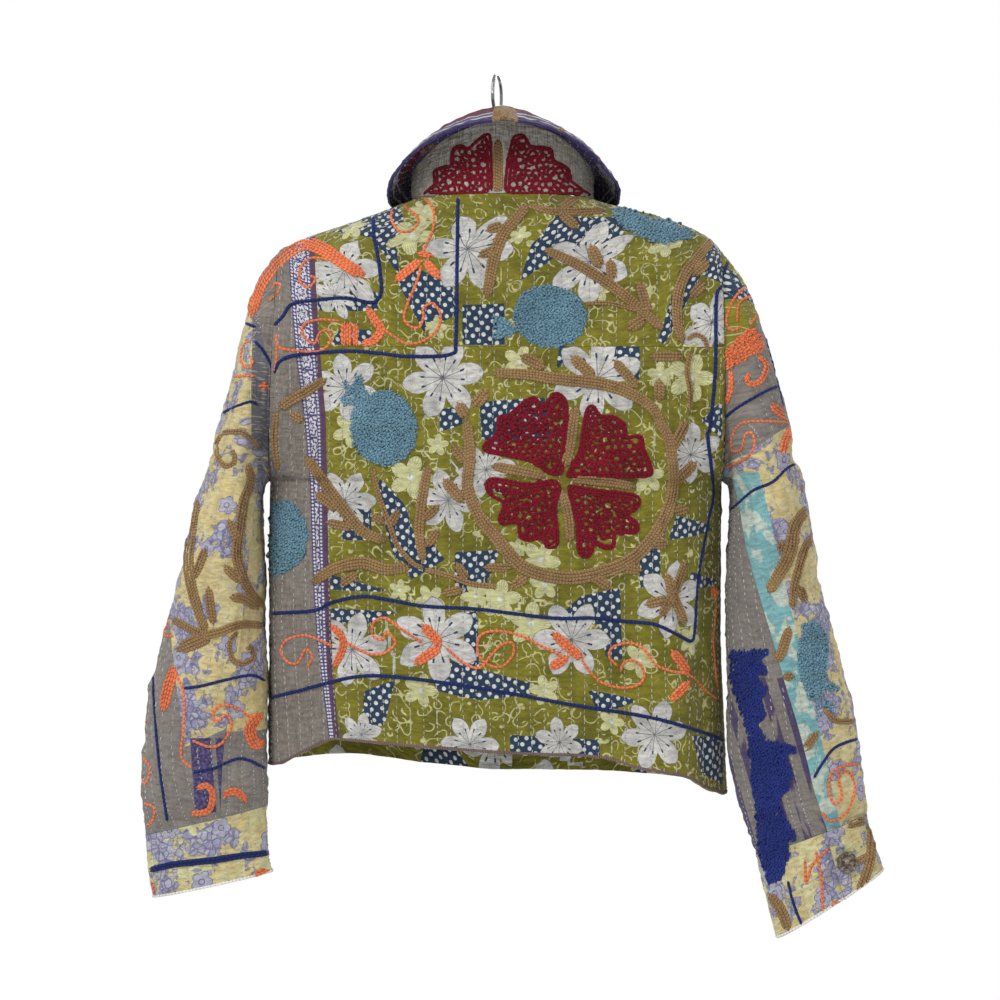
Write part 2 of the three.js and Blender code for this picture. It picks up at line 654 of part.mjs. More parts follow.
// The middle of the collar's thickness at a place round the neck: v counts up the stand, over the
// fold and down the fall.
function collarPoint(place, v) {
  const at = Math.abs(place.at);
  const column = (name) => smoothColumn(collarStations, 'at', name, at);
  const base = bodyPoint(place.side, place.across, neckHeight(place));
  base.addScaledVector(axisZ, collarSeamGap.up);
  const outward = base.clone().sub(neckCentre);
  outward.set(outward.x / neckHalf.across ** 2, outward.y / neckHalf.deep ** 2, 0).normalize();
  const along = new THREE.Vector3(-outward.y, outward.x, 0);
  const centre = base.addScaledVector(neckOutward(place), -clothWall / 2);
  centre.addScaledVector(outward, -collarSeamGap.inward);
  const profile = collarProfile[v];
  const [rise, lean, out, drop] = ['rise', 'lean', 'out', 'drop'].map(column);
  const away = profile.lean * lean + profile.out * out + profile.moreOut;
  const up = profile.rise * rise - profile.drop * drop + profile.moreUp;
  return centre.addScaledVector(outward, away).addScaledVector(axisZ, up)
    .addScaledVector(along, Math.sign(place.at) * column('spread') * profile.spread);
}

function collarPiece() {
  const rows = collarProfile.length;
  const columns = collarLine.length;
  const outer = [];
  const inner = [];
  for (let r = 0; r < rows; r += 1) {
    outer.push([]);
    inner.push([]);
    for (let c = 0; c < columns; c += 1) {
      const point = (row, column) => collarPoint(
        collarLine[THREE.MathUtils.clamp(column, 0, columns - 1)],
        THREE.MathUtils.clamp(row, 0, rows - 1),
      );
      const up = point(r + 1, c).sub(point(r - 1, c));
      const round = point(r, c + 1).sub(point(r, c - 1));
      const normal = r === 0 ? neckOutward(collarLine[c]) : round.cross(up);
      normal.setLength(clothWall / 2);
      outer[r].push(point(r, c).add(normal));
      inner[r].push(point(r, c).sub(normal));
    }
  }
  return wallGeometry(outer, inner);
}

addPiece('collar', collarPiece(), colours.collar);

// ---- buttons ----

// A domed metal button with a turned rim, standing on its shank. Its axis is +Z before it is placed.
function buttonGeometry() {
  const profile = [
    [0, 0], [3.4, 0], [3.4, 1.1], [buttonRadius, 1.5], [buttonRadius, 2.7],
    [buttonRadius - 1.2, 3.3], [buttonRadius - 2.4, 2.9], [0, 3.6],
  ].map(([x, y]) => new THREE.Vector2(x, y));
  const geometry = new THREE.LatheGeometry(profile, 12).rotateX(Math.PI / 2);
  for (const name of ['normal', 'uv']) geometry.deleteAttribute(name);
  const merged = mergeVertices(geometry, 1e-3);
  const kept = [];
  for (let k = 0; k < merged.index.count; k += 3) {
    const [a, b, c] = [0, 1, 2].map((n) => merged.index.getX(k + n));
    if (a !== b && b !== c && c !== a) kept.push(a, b, c);
  }
  merged.setIndex(kept);
  merged.computeVertexNormals();
  return merged;
}

function addButton(name, point, normal) {
  const button = addPiece(name, buttonGeometry(), colours.metal, 0.45, 0.9);
  button.position.copy(point).addScaledVector(normal, quiltRise + seamGap);
  button.quaternion.setFromUnitVectors(axisZ, normal);
}

function cuffButton(name, cuff) {
  const at = (down, degrees) => cuffPoint(cuff, cuffButtonDown + down, cuff.button + degrees);
  const point = at(0, 0);
  const round = at(0, 2).sub(at(0, -2));
  const along = at(0.1, 0).sub(at(-0.1, 0));
  const normal = round.cross(along).normalize();
  if (normal.y * Math.sin(THREE.MathUtils.degToRad(cuff.button)) < 0) normal.negate();
  addButton(name, point, normal);
}

cuffButton('left_cuff_button', cuffs.left);
cuffButton('right_cuff_button', cuffs.right);

const frontButtons = { count: 5, first: -215, last: -610 };
for (let k = 0; k < frontButtons.count; k += 1) {
  const z = mix(frontButtons.first, frontButtons.last, k / (frontButtons.count - 1));
  addButton(`front_button_${k + 1}`, bodyPoint('front', 0, z), axisY);
}

// ---- hanger ----

const hanger = {
  thickness: 10, bevel: 1.5, leftEnd: -182, rightEnd: 188, height: 17, endHeight: 11,
  clear: 0.8, peak: -103, steps: 22,
};
// The hook is a bent wire. Its bend runs from one angle to the other, over the rail, and its stem
// leans into the bend between stemTop and neckBend.
const hook = {
  wire: 1.6, inside: 18, turn: 78, stemX: 2, stemTop: -56, neckBend: { out: -9, x: -0.3, z: -43 },
  bend: { from: 205, to: -20, step: 22.5 }, steps: 30,
};

// The height of the shoulder line over a place along the hanger, or of its hump inside the neck.
function shoulderLineZ(x) {
  const side = x < neckCentre.x ? 'left' : 'right';
  const rows = bodySections.filter((row) => row.z >= shoulderZ);
  const reach = rows[0][side];
  if (Math.abs(x - neckCentre.x) < Math.abs(reach - neckCentre.x)) {
    const share = (x - neckCentre.x) / (reach - neckCentre.x);
    return mix(hanger.peak, neckZ - clothWall - hanger.clear, share * share);
  }
  return smoothColumn(rows, side, 'z', x) - clothWall - hanger.clear;
}

function hangerBody() {
  const top = [];
  const bottom = [];
  for (let k = 0; k <= hanger.steps; k += 1) {
    const x = mix(hanger.leftEnd, hanger.rightEnd, k / hanger.steps);
    const z = shoulderLineZ(x) - hanger.bevel;
    const share = Math.abs((2 * k) / hanger.steps - 1);
    top.push(new THREE.Vector2(x, z));
    bottom.push(new THREE.Vector2(x, z - mix(hanger.height, hanger.endHeight, share) + 2 * hanger.bevel));
  }
  const shape = new THREE.Shape(bottom.concat(top.reverse()));
  const geometry = new THREE.ExtrudeGeometry(shape, {
    depth: hanger.thickness - 2 * hanger.bevel,
    bevelThickness: hanger.bevel,
    bevelSize: hanger.bevel * 0.7,
    bevelSegments: 1,
    steps: 1,
  });
  return geometry.rotateX(Math.PI / 2).translate(0, hanger.thickness / 2 - hanger.bevel, 0);
}

// The hook in its own plane: down the stem, round the bend over the rail and to its tip.
function hookWire() {
  const radius = hook.inside + hook.wire;
  const turn = THREE.MathUtils.degToRad(hook.turn);
  const place = (p, z) => new THREE.Vector3(p * Math.cos(turn), p * Math.sin(turn), z);
  const points = [];
  const stemBottom = shoulderLineZ(hook.stemX) + seamGap;
  points.push(new THREE.Vector3(hook.stemX, 0, stemBottom));
  points.push(new THREE.Vector3(hook.stemX, 0, mix(stemBottom, hook.stemTop, 0.5)));
  points.push(new THREE.Vector3(hook.stemX, 0, hook.stemTop));
  points.push(place(hook.neckBend.out, hook.neckBend.z).setX(hook.neckBend.x));
  for (let degrees = hook.bend.from; degrees >= hook.bend.to; degrees -= hook.bend.step) {
    const angle = THREE.MathUtils.degToRad(degrees);
    points.push(place(radius * Math.cos(angle), radius * Math.sin(angle) - hook.inside));
  }
  const path = new THREE.CatmullRomCurve3(points);
  const sides = 8;
  const corners = Array.from({ length: sides }, (_, k) => {
    const angle = (2 * Math.PI * k) / sides;
    return new THREE.Vector2(hook.wire * Math.cos(angle), hook.wire * Math.sin(angle));
  });
  return new THREE.ExtrudeGeometry(new THREE.Shape(corners), {
    steps: hook.steps, extrudePath: path, bevelEnabled: false,
  });
}

addPiece('hanger_body', hangerBody(), colours.hangerBody, 0.6);
addPiece('hanger_hook', hookWire(), colours.chrome, 0.25, 1);

export default jacket;
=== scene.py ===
# Kantha jacket on a hanger: cloth, quilting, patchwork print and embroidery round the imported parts.
import math

import bpy
import numpy as np
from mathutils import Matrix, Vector
from mathutils.bvhtree import BVHTree


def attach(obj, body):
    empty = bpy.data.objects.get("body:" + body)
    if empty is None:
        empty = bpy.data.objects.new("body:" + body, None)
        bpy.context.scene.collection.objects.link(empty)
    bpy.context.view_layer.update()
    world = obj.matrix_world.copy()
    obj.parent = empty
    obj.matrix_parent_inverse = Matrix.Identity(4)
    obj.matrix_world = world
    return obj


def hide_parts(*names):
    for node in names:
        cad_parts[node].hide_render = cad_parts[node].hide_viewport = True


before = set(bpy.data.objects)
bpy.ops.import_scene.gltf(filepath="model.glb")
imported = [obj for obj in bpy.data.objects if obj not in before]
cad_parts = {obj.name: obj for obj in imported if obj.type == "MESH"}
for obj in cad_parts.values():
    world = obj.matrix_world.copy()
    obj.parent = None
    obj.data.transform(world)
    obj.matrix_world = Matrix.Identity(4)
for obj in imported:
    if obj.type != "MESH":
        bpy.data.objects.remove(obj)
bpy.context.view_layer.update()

mm = 0.001
rng = np.random.default_rng(11)


def chart(text):
    # a charted line: its points' numbers parted by commas, the points parted by spaces
    return [tuple(float(number) for number in point.split(",")) for point in text.split()]


def charts(text):
    return [chart(line) for line in text.split(";")]


def limbs(text):
    # charted lines with their width in millimetres and their rows of thread in front
    made = []
    for line in text.split(";"):
        wide, rows, points = line.split(maxsplit=2)
        made.append((chart(points), float(wide), int(rows)))
    return made


def curveBetween(a, b, c, d, t):
    # the curve from b to c, where a comes before them and d after them
    return b + 0.5 * t * (c - a + t * (2 * a - 5 * b + 4 * c - d + t * (3 * (b - c) + d - a)))


def withGhosts(points):
    # one more point beyond each end
    return np.concatenate([2 * points[:1] - points[1:2], points, 2 * points[-1:] - points[-2:-1]])


def pickOnly(*pieces):
    bpy.ops.object.select_all(action="DESELECT")
    for piece in pieces:
        piece.select_set(True)
    bpy.context.view_layer.objects.active = pieces[0]


def meshPiece(name, points, faces, flat=None):
    # points and flat places are in millimetres; the flat places become the UV map
    mesh = bpy.data.meshes.new(name)
    mesh.from_pydata((points * mm).tolist(), [], faces)
    layer = mesh.uv_layers.new(name="cloth")
    if flat is not None:
        corner = np.empty(len(mesh.loops), dtype=np.int32)
        mesh.loops.foreach_get("vertex_index", corner)
        layer.data.foreach_set("uv", (flat[corner] * mm).astype(np.float32).ravel())
    piece = bpy.data.objects.new(name, mesh)
    bpy.context.scene.collection.objects.link(piece)
    return piece


# the camera stands behind the jacket and looks level along +Y
camera = dict(place=(0.0028, -3.0, -0.3978), lens=115.0, focusY=-0.045)

cameraData = bpy.data.cameras.new("camera")
cameraData.lens = camera["lens"]
cameraObject = bpy.data.objects.new("camera", cameraData)
cameraObject.location = camera["place"]
cameraObject.rotation_euler = (math.pi / 2, 0, 0)
bpy.context.scene.collection.objects.link(cameraObject)
bpy.context.scene.camera = cameraObject

# the jacket's form, in millimetres like the CAD
neckZ, yokeZ, shoulderZ, armpitZ, hemZ, hemFrom = -116, -257, -163, -380, -650, -420
wall, gap, armholeDepth, frontLap = 2.3, 0.3, 56, 0.055

bodySections = dict(
    z=[-116, -122, -130, -139, -148, -157, -163, -257, -320, -380, -450, -520, -600, -700],
    left=[-80, -96, -116, -140, -170, -189, -203, -207.4, -210.3, -213, -214, -214, -214, -215],
    right=[92, 112, 145, 174, 193, 205, 209, 209.9, 210.5, 211, 210, 210, 213, 217],
    back=[62, 63, 64, 65, 66, 67, 68, 73, 79, 84, 87, 88, 86, 84],
    front=[54, 55, 56, 57, 58, 59, 60, 66, 72, 76, 79, 81, 82, 83],
    curve=[.92, .92, .92, .91, .91, .9, .9, .85, .8, .76, .75, .77, .8, .85],
)
backHem = dict(
    across=[-1, -.85, -.72, -.6, -.4, 0, .38, .54, .7, .83, .93, 1],
    z=[-646, -643, -630, -619, -622, -629, -635, -646, -653, -667, -673, -671],
)
frontHem = dict(
    across=[-1, -.6, -.25, 0, .4, .75, 1],
    z=[-646, -641, -651, -657, -658, -662, -671],
)
frontNeck = dict(
    across=[0, .06, .13, .22, .36, .48, .6, .73, .86, 1],
    z=[-189, -189, -178, -157, -138, -127, -121.5, -118.5, -116.8, -116],
)
# side, across, z, width, height, how far out
bodyFolds = [
    ("back", -.66, -640, .1, 120, -9), ("back", -.86, -600, .07, 150, 6),
    ("back", -.1, -650, .16, 90, 4), ("back", .36, -650, .12, 110, -6),
    ("back", .68, -640, .1, 150, 7), ("back", .86, -500, .06, 160, -5),
    ("back", -.84, -330, .06, 90, -5), ("back", .84, -300, .06, 80, -4),
    ("front", -.62, -640, .12, 150, 8), ("front", -.3, -650, .09, 120, -6),
    ("front", .34, -650, .1, 140, 6), ("front", .66, -620, .1, 160, -7),
    ("front", -.84, -340, .06, 100, -5), ("front", .84, -330, .06, 100, -5),
]
armholes = dict(left=(-203, -213, -1), right=(209, 211, 1))

sleeveForms = dict(
    left=dict(
        inX=[-213, -217, -219, -220, -220, -218, -215, -213, -212, -212, -212, -212, -213],
        inZ=[-380, -383, -390, -402, -420, -446, -480, -520, -563, -605, -640, -664, -681],
        outX=[-203, -217, -228, -238, -251, -268, -284, -300, -314, -325, -331, -330, -327],
        outZ=[-163, -180, -203, -243, -292, -352, -410, -470, -528, -585, -637, -678, -708],
        midY=[0, 0, -2, -4, -8, -13, -18, -23, -26, -28, -29, -30, -30],
        half=[56, 59, 62, 65, 66, 65, 62, 58, 52, 46, 40, 34, 27],
        seam=[200, 203, 206, 210, 215, 221, 228, 235, 241, 246, 250, 253, 255],
    ),
    right=dict(
        inX=[211, 216, 218, 218, 217, 214, 212, 211, 212, 215, 221, 231, 240.5],
        inZ=[-380, -384, -392, -406, -427, -457, -493, -535, -580, -625, -668, -702, -727],
        outX=[209, 221, 235, 250, 265, 281, 295, 308, 322, 335, 342, 344, 343.5],
        outZ=[-163, -176, -200, -241, -293, -360, -425, -487, -548, -604, -648, -674, -689],
        midY=[0, 0, -2, -4, -8, -13, -18, -23, -26, -28, -29, -30, -30],
        half=[56, 59, 62, 64, 65, 64, 61, 57, 52, 46, 40, 34, 27],
        seam=[196, 200, 205, 212, 221, 232, 245, 257, 266, 273, 278, 281, 284],
    ),
)
frontSeam = (162, 118)
# along, round in degrees, length, spread, how far out
sleeveFolds = dict(
    left=[(.3, 222, .2, 16, -7), (.52, 262, .05, 50, -5), (.66, 300, .06, 45, -5),
          (.8, 240, .06, 40, -4), (.6, 90, .07, 50, -6)],
    right=[(.3, 215, .2, 16, -6), (.46, 300, .06, 40, -5), (.63, 235, .06, 45, -5),
           (.84, 300, .05, 45, -5), (.6, 80, .07, 50, -6)],
)
cuffForms = dict(
    left=dict(bottom=(-208, -743, -320, -767, -31, 23), lap=62, lapLength=34),
    right=dict(bottom=(260, -805, 359, -741, -31, 25), lap=282, lapLength=36),
)
collarForm = dict(
    at=[0, .25, .5, .75, 1, 1.2, 1.4, 1.6, 1.8, 2],
    rise=[79, 72, 59, 40, 26, 23, 20, 18, 17, 16],
    lean=[-2, -2, -1, 0, 1, 1, 1, 1, 1, 1],
    out=[42, 42, 38, 31, 24, 26, 29, 26, 19, 14],
    drop=[15, 16, 20, 26, 27, 27, 42, 60, 69, 76],
    spread=[0, 0, 1, 2, 2, 0, -2, -6, -14, -24],
)
neckCentreX, neckHalf, collarSeam = 6, (86, 60), dict(up=0.6, inward=0.8)


def smooth(form, key, name, at):
    # a smooth line through one column of a form's table
    x, y = np.array(form[key], float), np.array(form[name], float)
    if x[0] > x[-1]:
        x, y = x[::-1], y[::-1]
    slope = np.diff(y) / np.diff(x)
    tangent = np.empty_like(y)
    tangent[0], tangent[-1] = slope[0], slope[-1]
    product, total = slope[:-1] * slope[1:], slope[:-1] + slope[1:]
    tangent[1:-1] = np.where(product > 0, 2 * product / np.where(total == 0, 1, total), 0)
    k = np.clip(np.searchsorted(x, at, side="right") - 1, 0, len(x) - 2)
    width = x[k + 1] - x[k]
    t = np.clip((at - x[k]) / width, 0, 1)
    return ((2 * t**3 - 3 * t**2 + 1) * y[k] + (t**3 - 2 * t**2 + t) * width * tangent[k]
            + (3 * t**2 - 2 * t**3) * y[k + 1] + (t**3 - t**2) * width * tangent[k + 1])


def bell(value, spread):
    return np.exp(-(value * value) / (2 * spread * spread))


def ease(value, start, end):
    t = np.clip((value - start) / (end - start), 0, 1)
    return t * t * (3 - 2 * t)


def unit(vectors):
    return vectors / np.maximum(np.linalg.norm(vectors, axis=-1, keepdims=True), 1e-9)


def bodyPoints(side, across, z):
    shape = across.shape
    across, z = across.ravel().astype(float), np.broadcast_to(z, shape).ravel().astype(float)
    share = (z - shoulderZ) / (armpitZ - shoulderZ)
    inHole = (share > 0) & (share < 1)
    ends = []
    for end in ("left", "right"):
        top, bottom, _ = armholes[end]
        ends.append(np.where(inHole, top + (bottom - top) * share, smooth(bodySections, "z", end, z)))
    left, right = ends
    edge = armholeDepth * np.sqrt(np.clip(1 - (2 * share - 1) ** 2, 0, 1))
    depth, curve = smooth(bodySections, "z", side, z), smooth(bodySections, "z", "curve", z)
    angle = np.linspace(0, math.pi, 97)
    x = ((left + right) / 2)[:, None] - ((right - left) / 2)[:, None] * np.cos(angle)
    sine = np.clip(np.sin(angle), 0, 1)[None, :] ** curve[:, None]
    y = edge[:, None] + (depth - edge)[:, None] * sine
    run = np.zeros_like(x)
    run[:, 1:] = np.cumsum(np.hypot(np.diff(x, axis=1), np.diff(y, axis=1)), axis=1)
    length = (across + 1) / 2 * run[:, -1]
    k = np.clip((run < length[:, None]).sum(axis=1), 1, 96)
    row = np.arange(len(k))
    t = (length - run[row, k - 1]) / (run[row, k] - run[row, k - 1])
    out = np.zeros_like(z)
    for foldSide, foldAcross, foldZ, width, height, far in bodyFolds:
        if foldSide == side:
            out += far * bell(across - foldAcross, width) * bell(z - foldZ, height)
    out *= np.minimum(1, (1 - np.abs(across)) / 0.1)
    px = x[row, k - 1] + (x[row, k] - x[row, k - 1]) * t
    py = np.maximum(y[row, k - 1] + (y[row, k] - y[row, k - 1]) * t + out, gap / 2)
    points = np.stack([px, -py if side == "back" else py, z], axis=-1)
    return points.reshape(shape + (3,))


def drawnToHem(z, hem, across):
    end = smooth(hem, "across", "z", across)
    return np.where(z >= hemFrom, z, hemFrom + (z - hemFrom) * (end - hemFrom) / (hemZ - hemFrom))


def ovalPoints(form, degrees, grow=0):
    # form: inX, inZ, outX, outZ, midY, half; 0 degrees is the outside of the arm, 90 its front
    inX, inZ, outX, outZ, midY, half = form
    angle = np.radians(degrees)
    halfX, halfZ = (outX - inX) / 2, (outZ - inZ) / 2
    size = np.hypot(halfX, halfZ)
    reach = (size + grow) / size
    return np.stack([
        (inX + outX) / 2 + halfX * reach * np.cos(angle),
        midY + (half + grow) * np.sin(angle),
        (inZ + outZ) / 2 + halfZ * reach * np.cos(angle),
    ], axis=-1)


def sleeveForm(sleeve, along):
    steps = dict(sleeveForms[sleeve], along=np.linspace(0, 1, 13))
    names = ("inX", "inZ", "outX", "outZ", "midY", "half", "seam")
    return [smooth(steps, "along", name, along) for name in names]


def sleevePoints(sleeve, along, degrees):
    *form, seam = sleeveForm(sleeve, along)
    out = np.zeros_like(along)
    for foldAlong, foldRound, length, spread, far in sleeveFolds[sleeve]:
        turn = (degrees - foldRound + 180) % 360 - 180
        out += far * bell(along - foldAlong, length) * bell(turn, spread)
    out *= np.minimum(1, along / 0.12) * np.minimum(1, (1 - along) / 0.12)
    points = ovalPoints(form, degrees, out)
    top, bottom, outward = armholes[sleeve]
    lean = unit(np.array([shoulderZ - armpitZ, 0, bottom - top], float)) * outward * gap * 1.5
    return points + lean * (along == 0)[..., None]


def neckOutward(side, across, z):
    ahead = bodyPoints(side, np.clip(across + 0.02, -1, 1), z)
    behind = bodyPoints(side, np.clip(across - 0.02, -1, 1), z)
    tangent = ahead - behind
    outward = np.stack([-tangent[..., 1], tangent[..., 0], np.zeros_like(across)], axis=-1)
    outward[..., 1] *= np.abs(across) < 0.9999
    here = bodyPoints(side, across, z) - np.array([neckCentreX, 0, 0])
    flip = np.sign((outward * here).sum(axis=-1))
    return unit(outward * flip[..., None])


def collarMiddle(at):
    # the nine places of the collar's profile at each place round the neck: stand, fold, fall
    side = np.where(np.abs(at) <= 1, 0, 1)
    across = np.where(side == 0, at, np.sign(at) * (2 - np.abs(at)))
    base, seamOut = np.zeros(at.shape + (3,)), np.zeros(at.shape + (3,))
    for number, name in enumerate(("back", "front")):
        pick = side == number
        z = smooth(frontNeck, "across", "z", np.abs(across[pick])) if number else neckZ
        z = np.broadcast_to(z, across[pick].shape).astype(float)
        base[pick] = bodyPoints(name, across[pick], z)
        seamOut[pick] = neckOutward(name, across[pick], z)
    base[:, 2] += collarSeam["up"]
    outward = np.stack([(base[:, 0] - neckCentreX) / neckHalf[0] ** 2,
                        base[:, 1] / neckHalf[1] ** 2, np.zeros(len(at))], axis=-1)
    outward = unit(outward)
    along = np.stack([-outward[:, 1], outward[:, 0], outward[:, 2]], axis=-1)
    centre = base - seamOut * wall / 2 - outward * collarSeam["inward"]
    rise, lean, out, drop, spread = [
        smooth(collarForm, "at", name, np.abs(at)) for name in ("rise", "lean", "out", "drop", "spread")]
    nothing = np.zeros_like(rise)
    profile = [
        (nothing, nothing, 0), (lean * .4, rise * .36, 0), (lean * .8, rise * .7, 0),
        (lean, rise - 4, 0), (lean + 1.3, rise - 1.1, 0), (lean + 4, rise, 0),
        (lean + 7, rise - 1.2 - drop * .02, 0),
        ((lean + 7 + out) / 2, rise - .7 - drop * .42, .5), (out, rise - drop, 1),
    ]
    rows = []
    for away, up, sideways in profile:
        point = centre + outward * away[:, None] + along * (np.sign(at) * spread * sideways)[:, None]
        point[:, 2] += up
        rows.append(point)
    return np.stack(rows), seamOut


# the sewn rows and the puckers between them, in millimetres
quilting = dict(rowEvery=12.5, rowDepth=1.15, rowWidth=2.2, stitchEvery=6.6, pucker=1.0, wave=1.6,
                creases=1.5, clearOfSeam=5.0)
randomField = rng.random((64, 64))
cloths = {}


def lumps(u, v, seed):
    # soft random bumps between -1 and 1
    u, v = u + seed * 7.31, v + seed * 3.77
    iu, iv = np.floor(u).astype(int), np.floor(v).astype(int)
    fu, fv = u - iu, v - iv
    fu, fv = fu * fu * (3 - 2 * fu), fv * fv * (3 - 2 * fv)
    at = lambda a, b: randomField[a % 64, b % 64]
    low = at(iu, iv) * (1 - fu) + at(iu + 1, iv) * fu
    high = at(iu, iv + 1) * (1 - fu) + at(iu + 1, iv + 1) * fu
    return 2 * (low * (1 - fv) + high * fv) - 1


def gridNormals(points, outward):
    down = np.gradient(points, axis=0)
    over = np.gradient(points, axis=1)
    normals = unit(np.cross(over, down))
    if (normals * outward).sum() < 0:
        normals = -normals
    return normals


def creaseDepth(u, v, creases):
    # each crease: u, v of its middle, its direction in degrees, length, width and depth out
    depth = np.zeros_like(u)
    for cu, cv, turn, length, width, out in creases:
        along = (u - cu) * math.cos(math.radians(turn)) + (v - cv) * math.sin(math.radians(turn))
        off = (v - cv) * math.cos(math.radians(turn)) - (u - cu) * math.sin(math.radians(turn))
        bend = off + 0.0012 * along * along
        depth += out * bell(along, length / 2.4) * bell(bend, width)
    return depth


def sewCloth(name, points, outward, seamAt=(1, 1, 1, 1), creases=(), quilted=1.0, seed=1, startU=0.0,
             axis=None, spaced=3.0):
    # points run down the rows and across the columns; the flat cloth's u and v are in millimetres
    rows, columns = points.shape[:2]
    u = np.zeros((rows, columns))
    u[:, 1:] = np.cumsum(np.linalg.norm(np.diff(points, axis=1), axis=2), axis=1)
    v = np.zeros((rows, columns))
    v[1:] = np.cumsum(np.linalg.norm(np.diff(points, axis=0), axis=2), axis=0)
    middle = columns // 2
    if axis is not None:
        # rows that slope over the cloth: measure down along the sleeve, and across square to that
        along = points @ unit(np.array(axis, float))
        over = np.linalg.norm(np.diff(points, axis=1), axis=2)
        u[:, 1:] = np.cumsum(np.sqrt(np.maximum(over ** 2 - np.diff(along, axis=1) ** 2,
                                                (0.15 * over) ** 2)), axis=1)
        v = along - along[0, middle]
    u = u - u[:, middle:middle + 1] + startU
    if axis is None:
        v = np.broadcast_to(v[:, middle:middle + 1], v.shape) * 0.5 + v * 0.5
    normals = gridNormals(points, outward)
    # how far each place is from the sewn edges: top, bottom, first column, last column
    clear = np.full(u.shape, 99.0)
    r, c = np.arange(rows)[:, None], np.arange(columns)[None, :]
    stepV = np.linalg.norm(np.diff(points, axis=0), axis=2).mean()
    stepU = np.linalg.norm(np.diff(points, axis=1), axis=2).mean()
    for used, away in zip(seamAt, (r * stepV, (rows - 1 - r) * stepV, c * stepU, (columns - 1 - c) * stepU)):
        if used:
            clear = np.minimum(clear, np.broadcast_to(away, clear.shape))
    fade = ease(clear, 0, quilting["clearOfSeam"])
    row = u / quilting["rowEvery"] + 0.12 * lumps(u / 90, v / 70, seed)
    near = (row - np.floor(row) - 0.5) * quilting["rowEvery"]
    pull = 0.65 + 0.35 * np.cos(2 * math.pi * v / quilting["stitchEvery"])
    out = -quilting["rowDepth"] * bell(near, quilting["rowWidth"]) * pull
    out += quilting["pucker"] * lumps(u / 9, v / 4.5, seed) + 0.35 * lumps(u / 14, v / 17, seed + 1)
    out = out * quilted * (0.25 + 0.75 * fade)
    out += fade * (quilting["wave"] * lumps(u / 55, v / 48, seed + 2)
                   + quilting["creases"] * creaseDepth(u, v, creases))
    points = points + normals * out[..., None]
    index = np.arange(rows * columns).reshape(rows, columns)
    faces = np.stack([index[:-1, :-1], index[1:, :-1], index[1:, 1:], index[:-1, 1:]], axis=-1).reshape(-1, 4)
    middleNormal = np.cross(points[rows // 2 + 1, middle] - points[rows // 2, middle],
                            points[rows // 2, middle + 1] - points[rows // 2, middle])
    if middleNormal @ normals[rows // 2, middle] < 0:
        faces = faces[:, ::-1]
    flat = np.stack([u.ravel(), -v.ravel()], axis=-1)
    piece = meshPiece(name, points.reshape(-1, 3), faces.tolist(), flat)
    cloths[name] = dict(piece=piece, points=points, normals=gridNormals(points, outward), u=u, v=-v,
                        flat=flat, row=row, spaced=spaced, area=areaOf(points))


def areaOf(points):
    down, over = np.diff(points, axis=0)[:, :-1], np.diff(points, axis=1)[:-1]
    return float(np.linalg.norm(np.cross(over, down), axis=2).sum()) * mm * mm


def thicken(piece):
    pickOnly(piece)
    solid = piece.modifiers.new("thickness", "SOLIDIFY")
    solid.thickness = wall * mm
    solid.offset = -1
    bpy.ops.object.modifier_apply(modifier=solid.name)
    bpy.ops.object.shade_smooth()
    piece.data.set_sharp_from_angle(angle=math.radians(50))
    piece.select_set(False)


def steps(length, each):
    return max(2, int(round(length / each)) + 1)


grid = dict(back=3.0, front=3.8, sleeve=3.4)   # millimetres between the cloth's points
# half the body's width on the cloth, and how the left front rises over the right one at the lap
bodyCut = dict(gridWidth=235, flatWidth=230, lapRise=1.5, lapEnds=(-0.13, -0.065))


def bodyCloth(name, side, across, heights, **more):
    a = np.linspace(across[0], across[1], steps(abs(across[1] - across[0]) * bodyCut["gridWidth"],
                                                grid[side]))
    a, z = np.meshgrid(a, heights)
    hem, outward = (backHem, (0, -1, 0)) if side == "back" else (frontHem, (0, 1, 0))
    if side == "front":
        top = smooth(frontNeck, "across", "z", np.abs(a))
        z = np.where(z > yokeZ, top + (yokeZ - top) * (z - neckZ) / (yokeZ - neckZ), drawnToHem(z, hem, a))
    else:
        z = drawnToHem(z, hem, a)
    points = bodyPoints(side, a, z)
    if name == "left_front_cloth":
        points[..., 1] -= (wall + bodyCut["lapRise"]) * ease(a, *bodyCut["lapEnds"])
    sewCloth(name, points, np.array(outward), startU=(across[0] + across[1]) / 2 * bodyCut["flatWidth"],
             spaced=grid[side], **more)


def heightsBetween(top, bottom, side="back"):
    return np.linspace(top, bottom, steps(top - bottom, grid[side]))


backCloth = dict(
    yoke=dict(flat=(0.47, 0.15), area=0.066),
    panel=dict(flat=(0.48, 0.42), area=0.188),
    # u, v from the panel's top middle, direction, length, width, out
    yokeCreases=[(-120, 40, 60, 90, 7, -1.6), (140, 35, 120, 90, 8, -1.6), (10, 12, 5, 150, 5, 1.2)],
    panelCreases=[(-175, 60, 82, 150, 6, -2.6), (-160, 190, 96, 190, 8, 2.0), (180, 90, 100, 170, 7, -2.4),
                  (150, 250, 84, 200, 10, 2.0), (-60, 330, 78, 120, 9, -1.8), (60, 300, 98, 150, 9, 1.6),
                  (-20, 120, 20, 160, 7, 1.1), (90, 60, 165, 140, 6, -1.1), (200, 300, 90, 200, 6, -2.2)],
)
bodyCloth("back_yoke_cloth", "back", (-1, 1), heightsBetween(neckZ, yokeZ + gap / 2),
          creases=backCloth["yokeCreases"], seed=2)
bodyCloth("back_panel_cloth", "back", (-1, 1), heightsBetween(yokeZ - gap / 2, hemZ),
          seamAt=(1, 0, 1, 1), creases=backCloth["panelCreases"], seed=3)

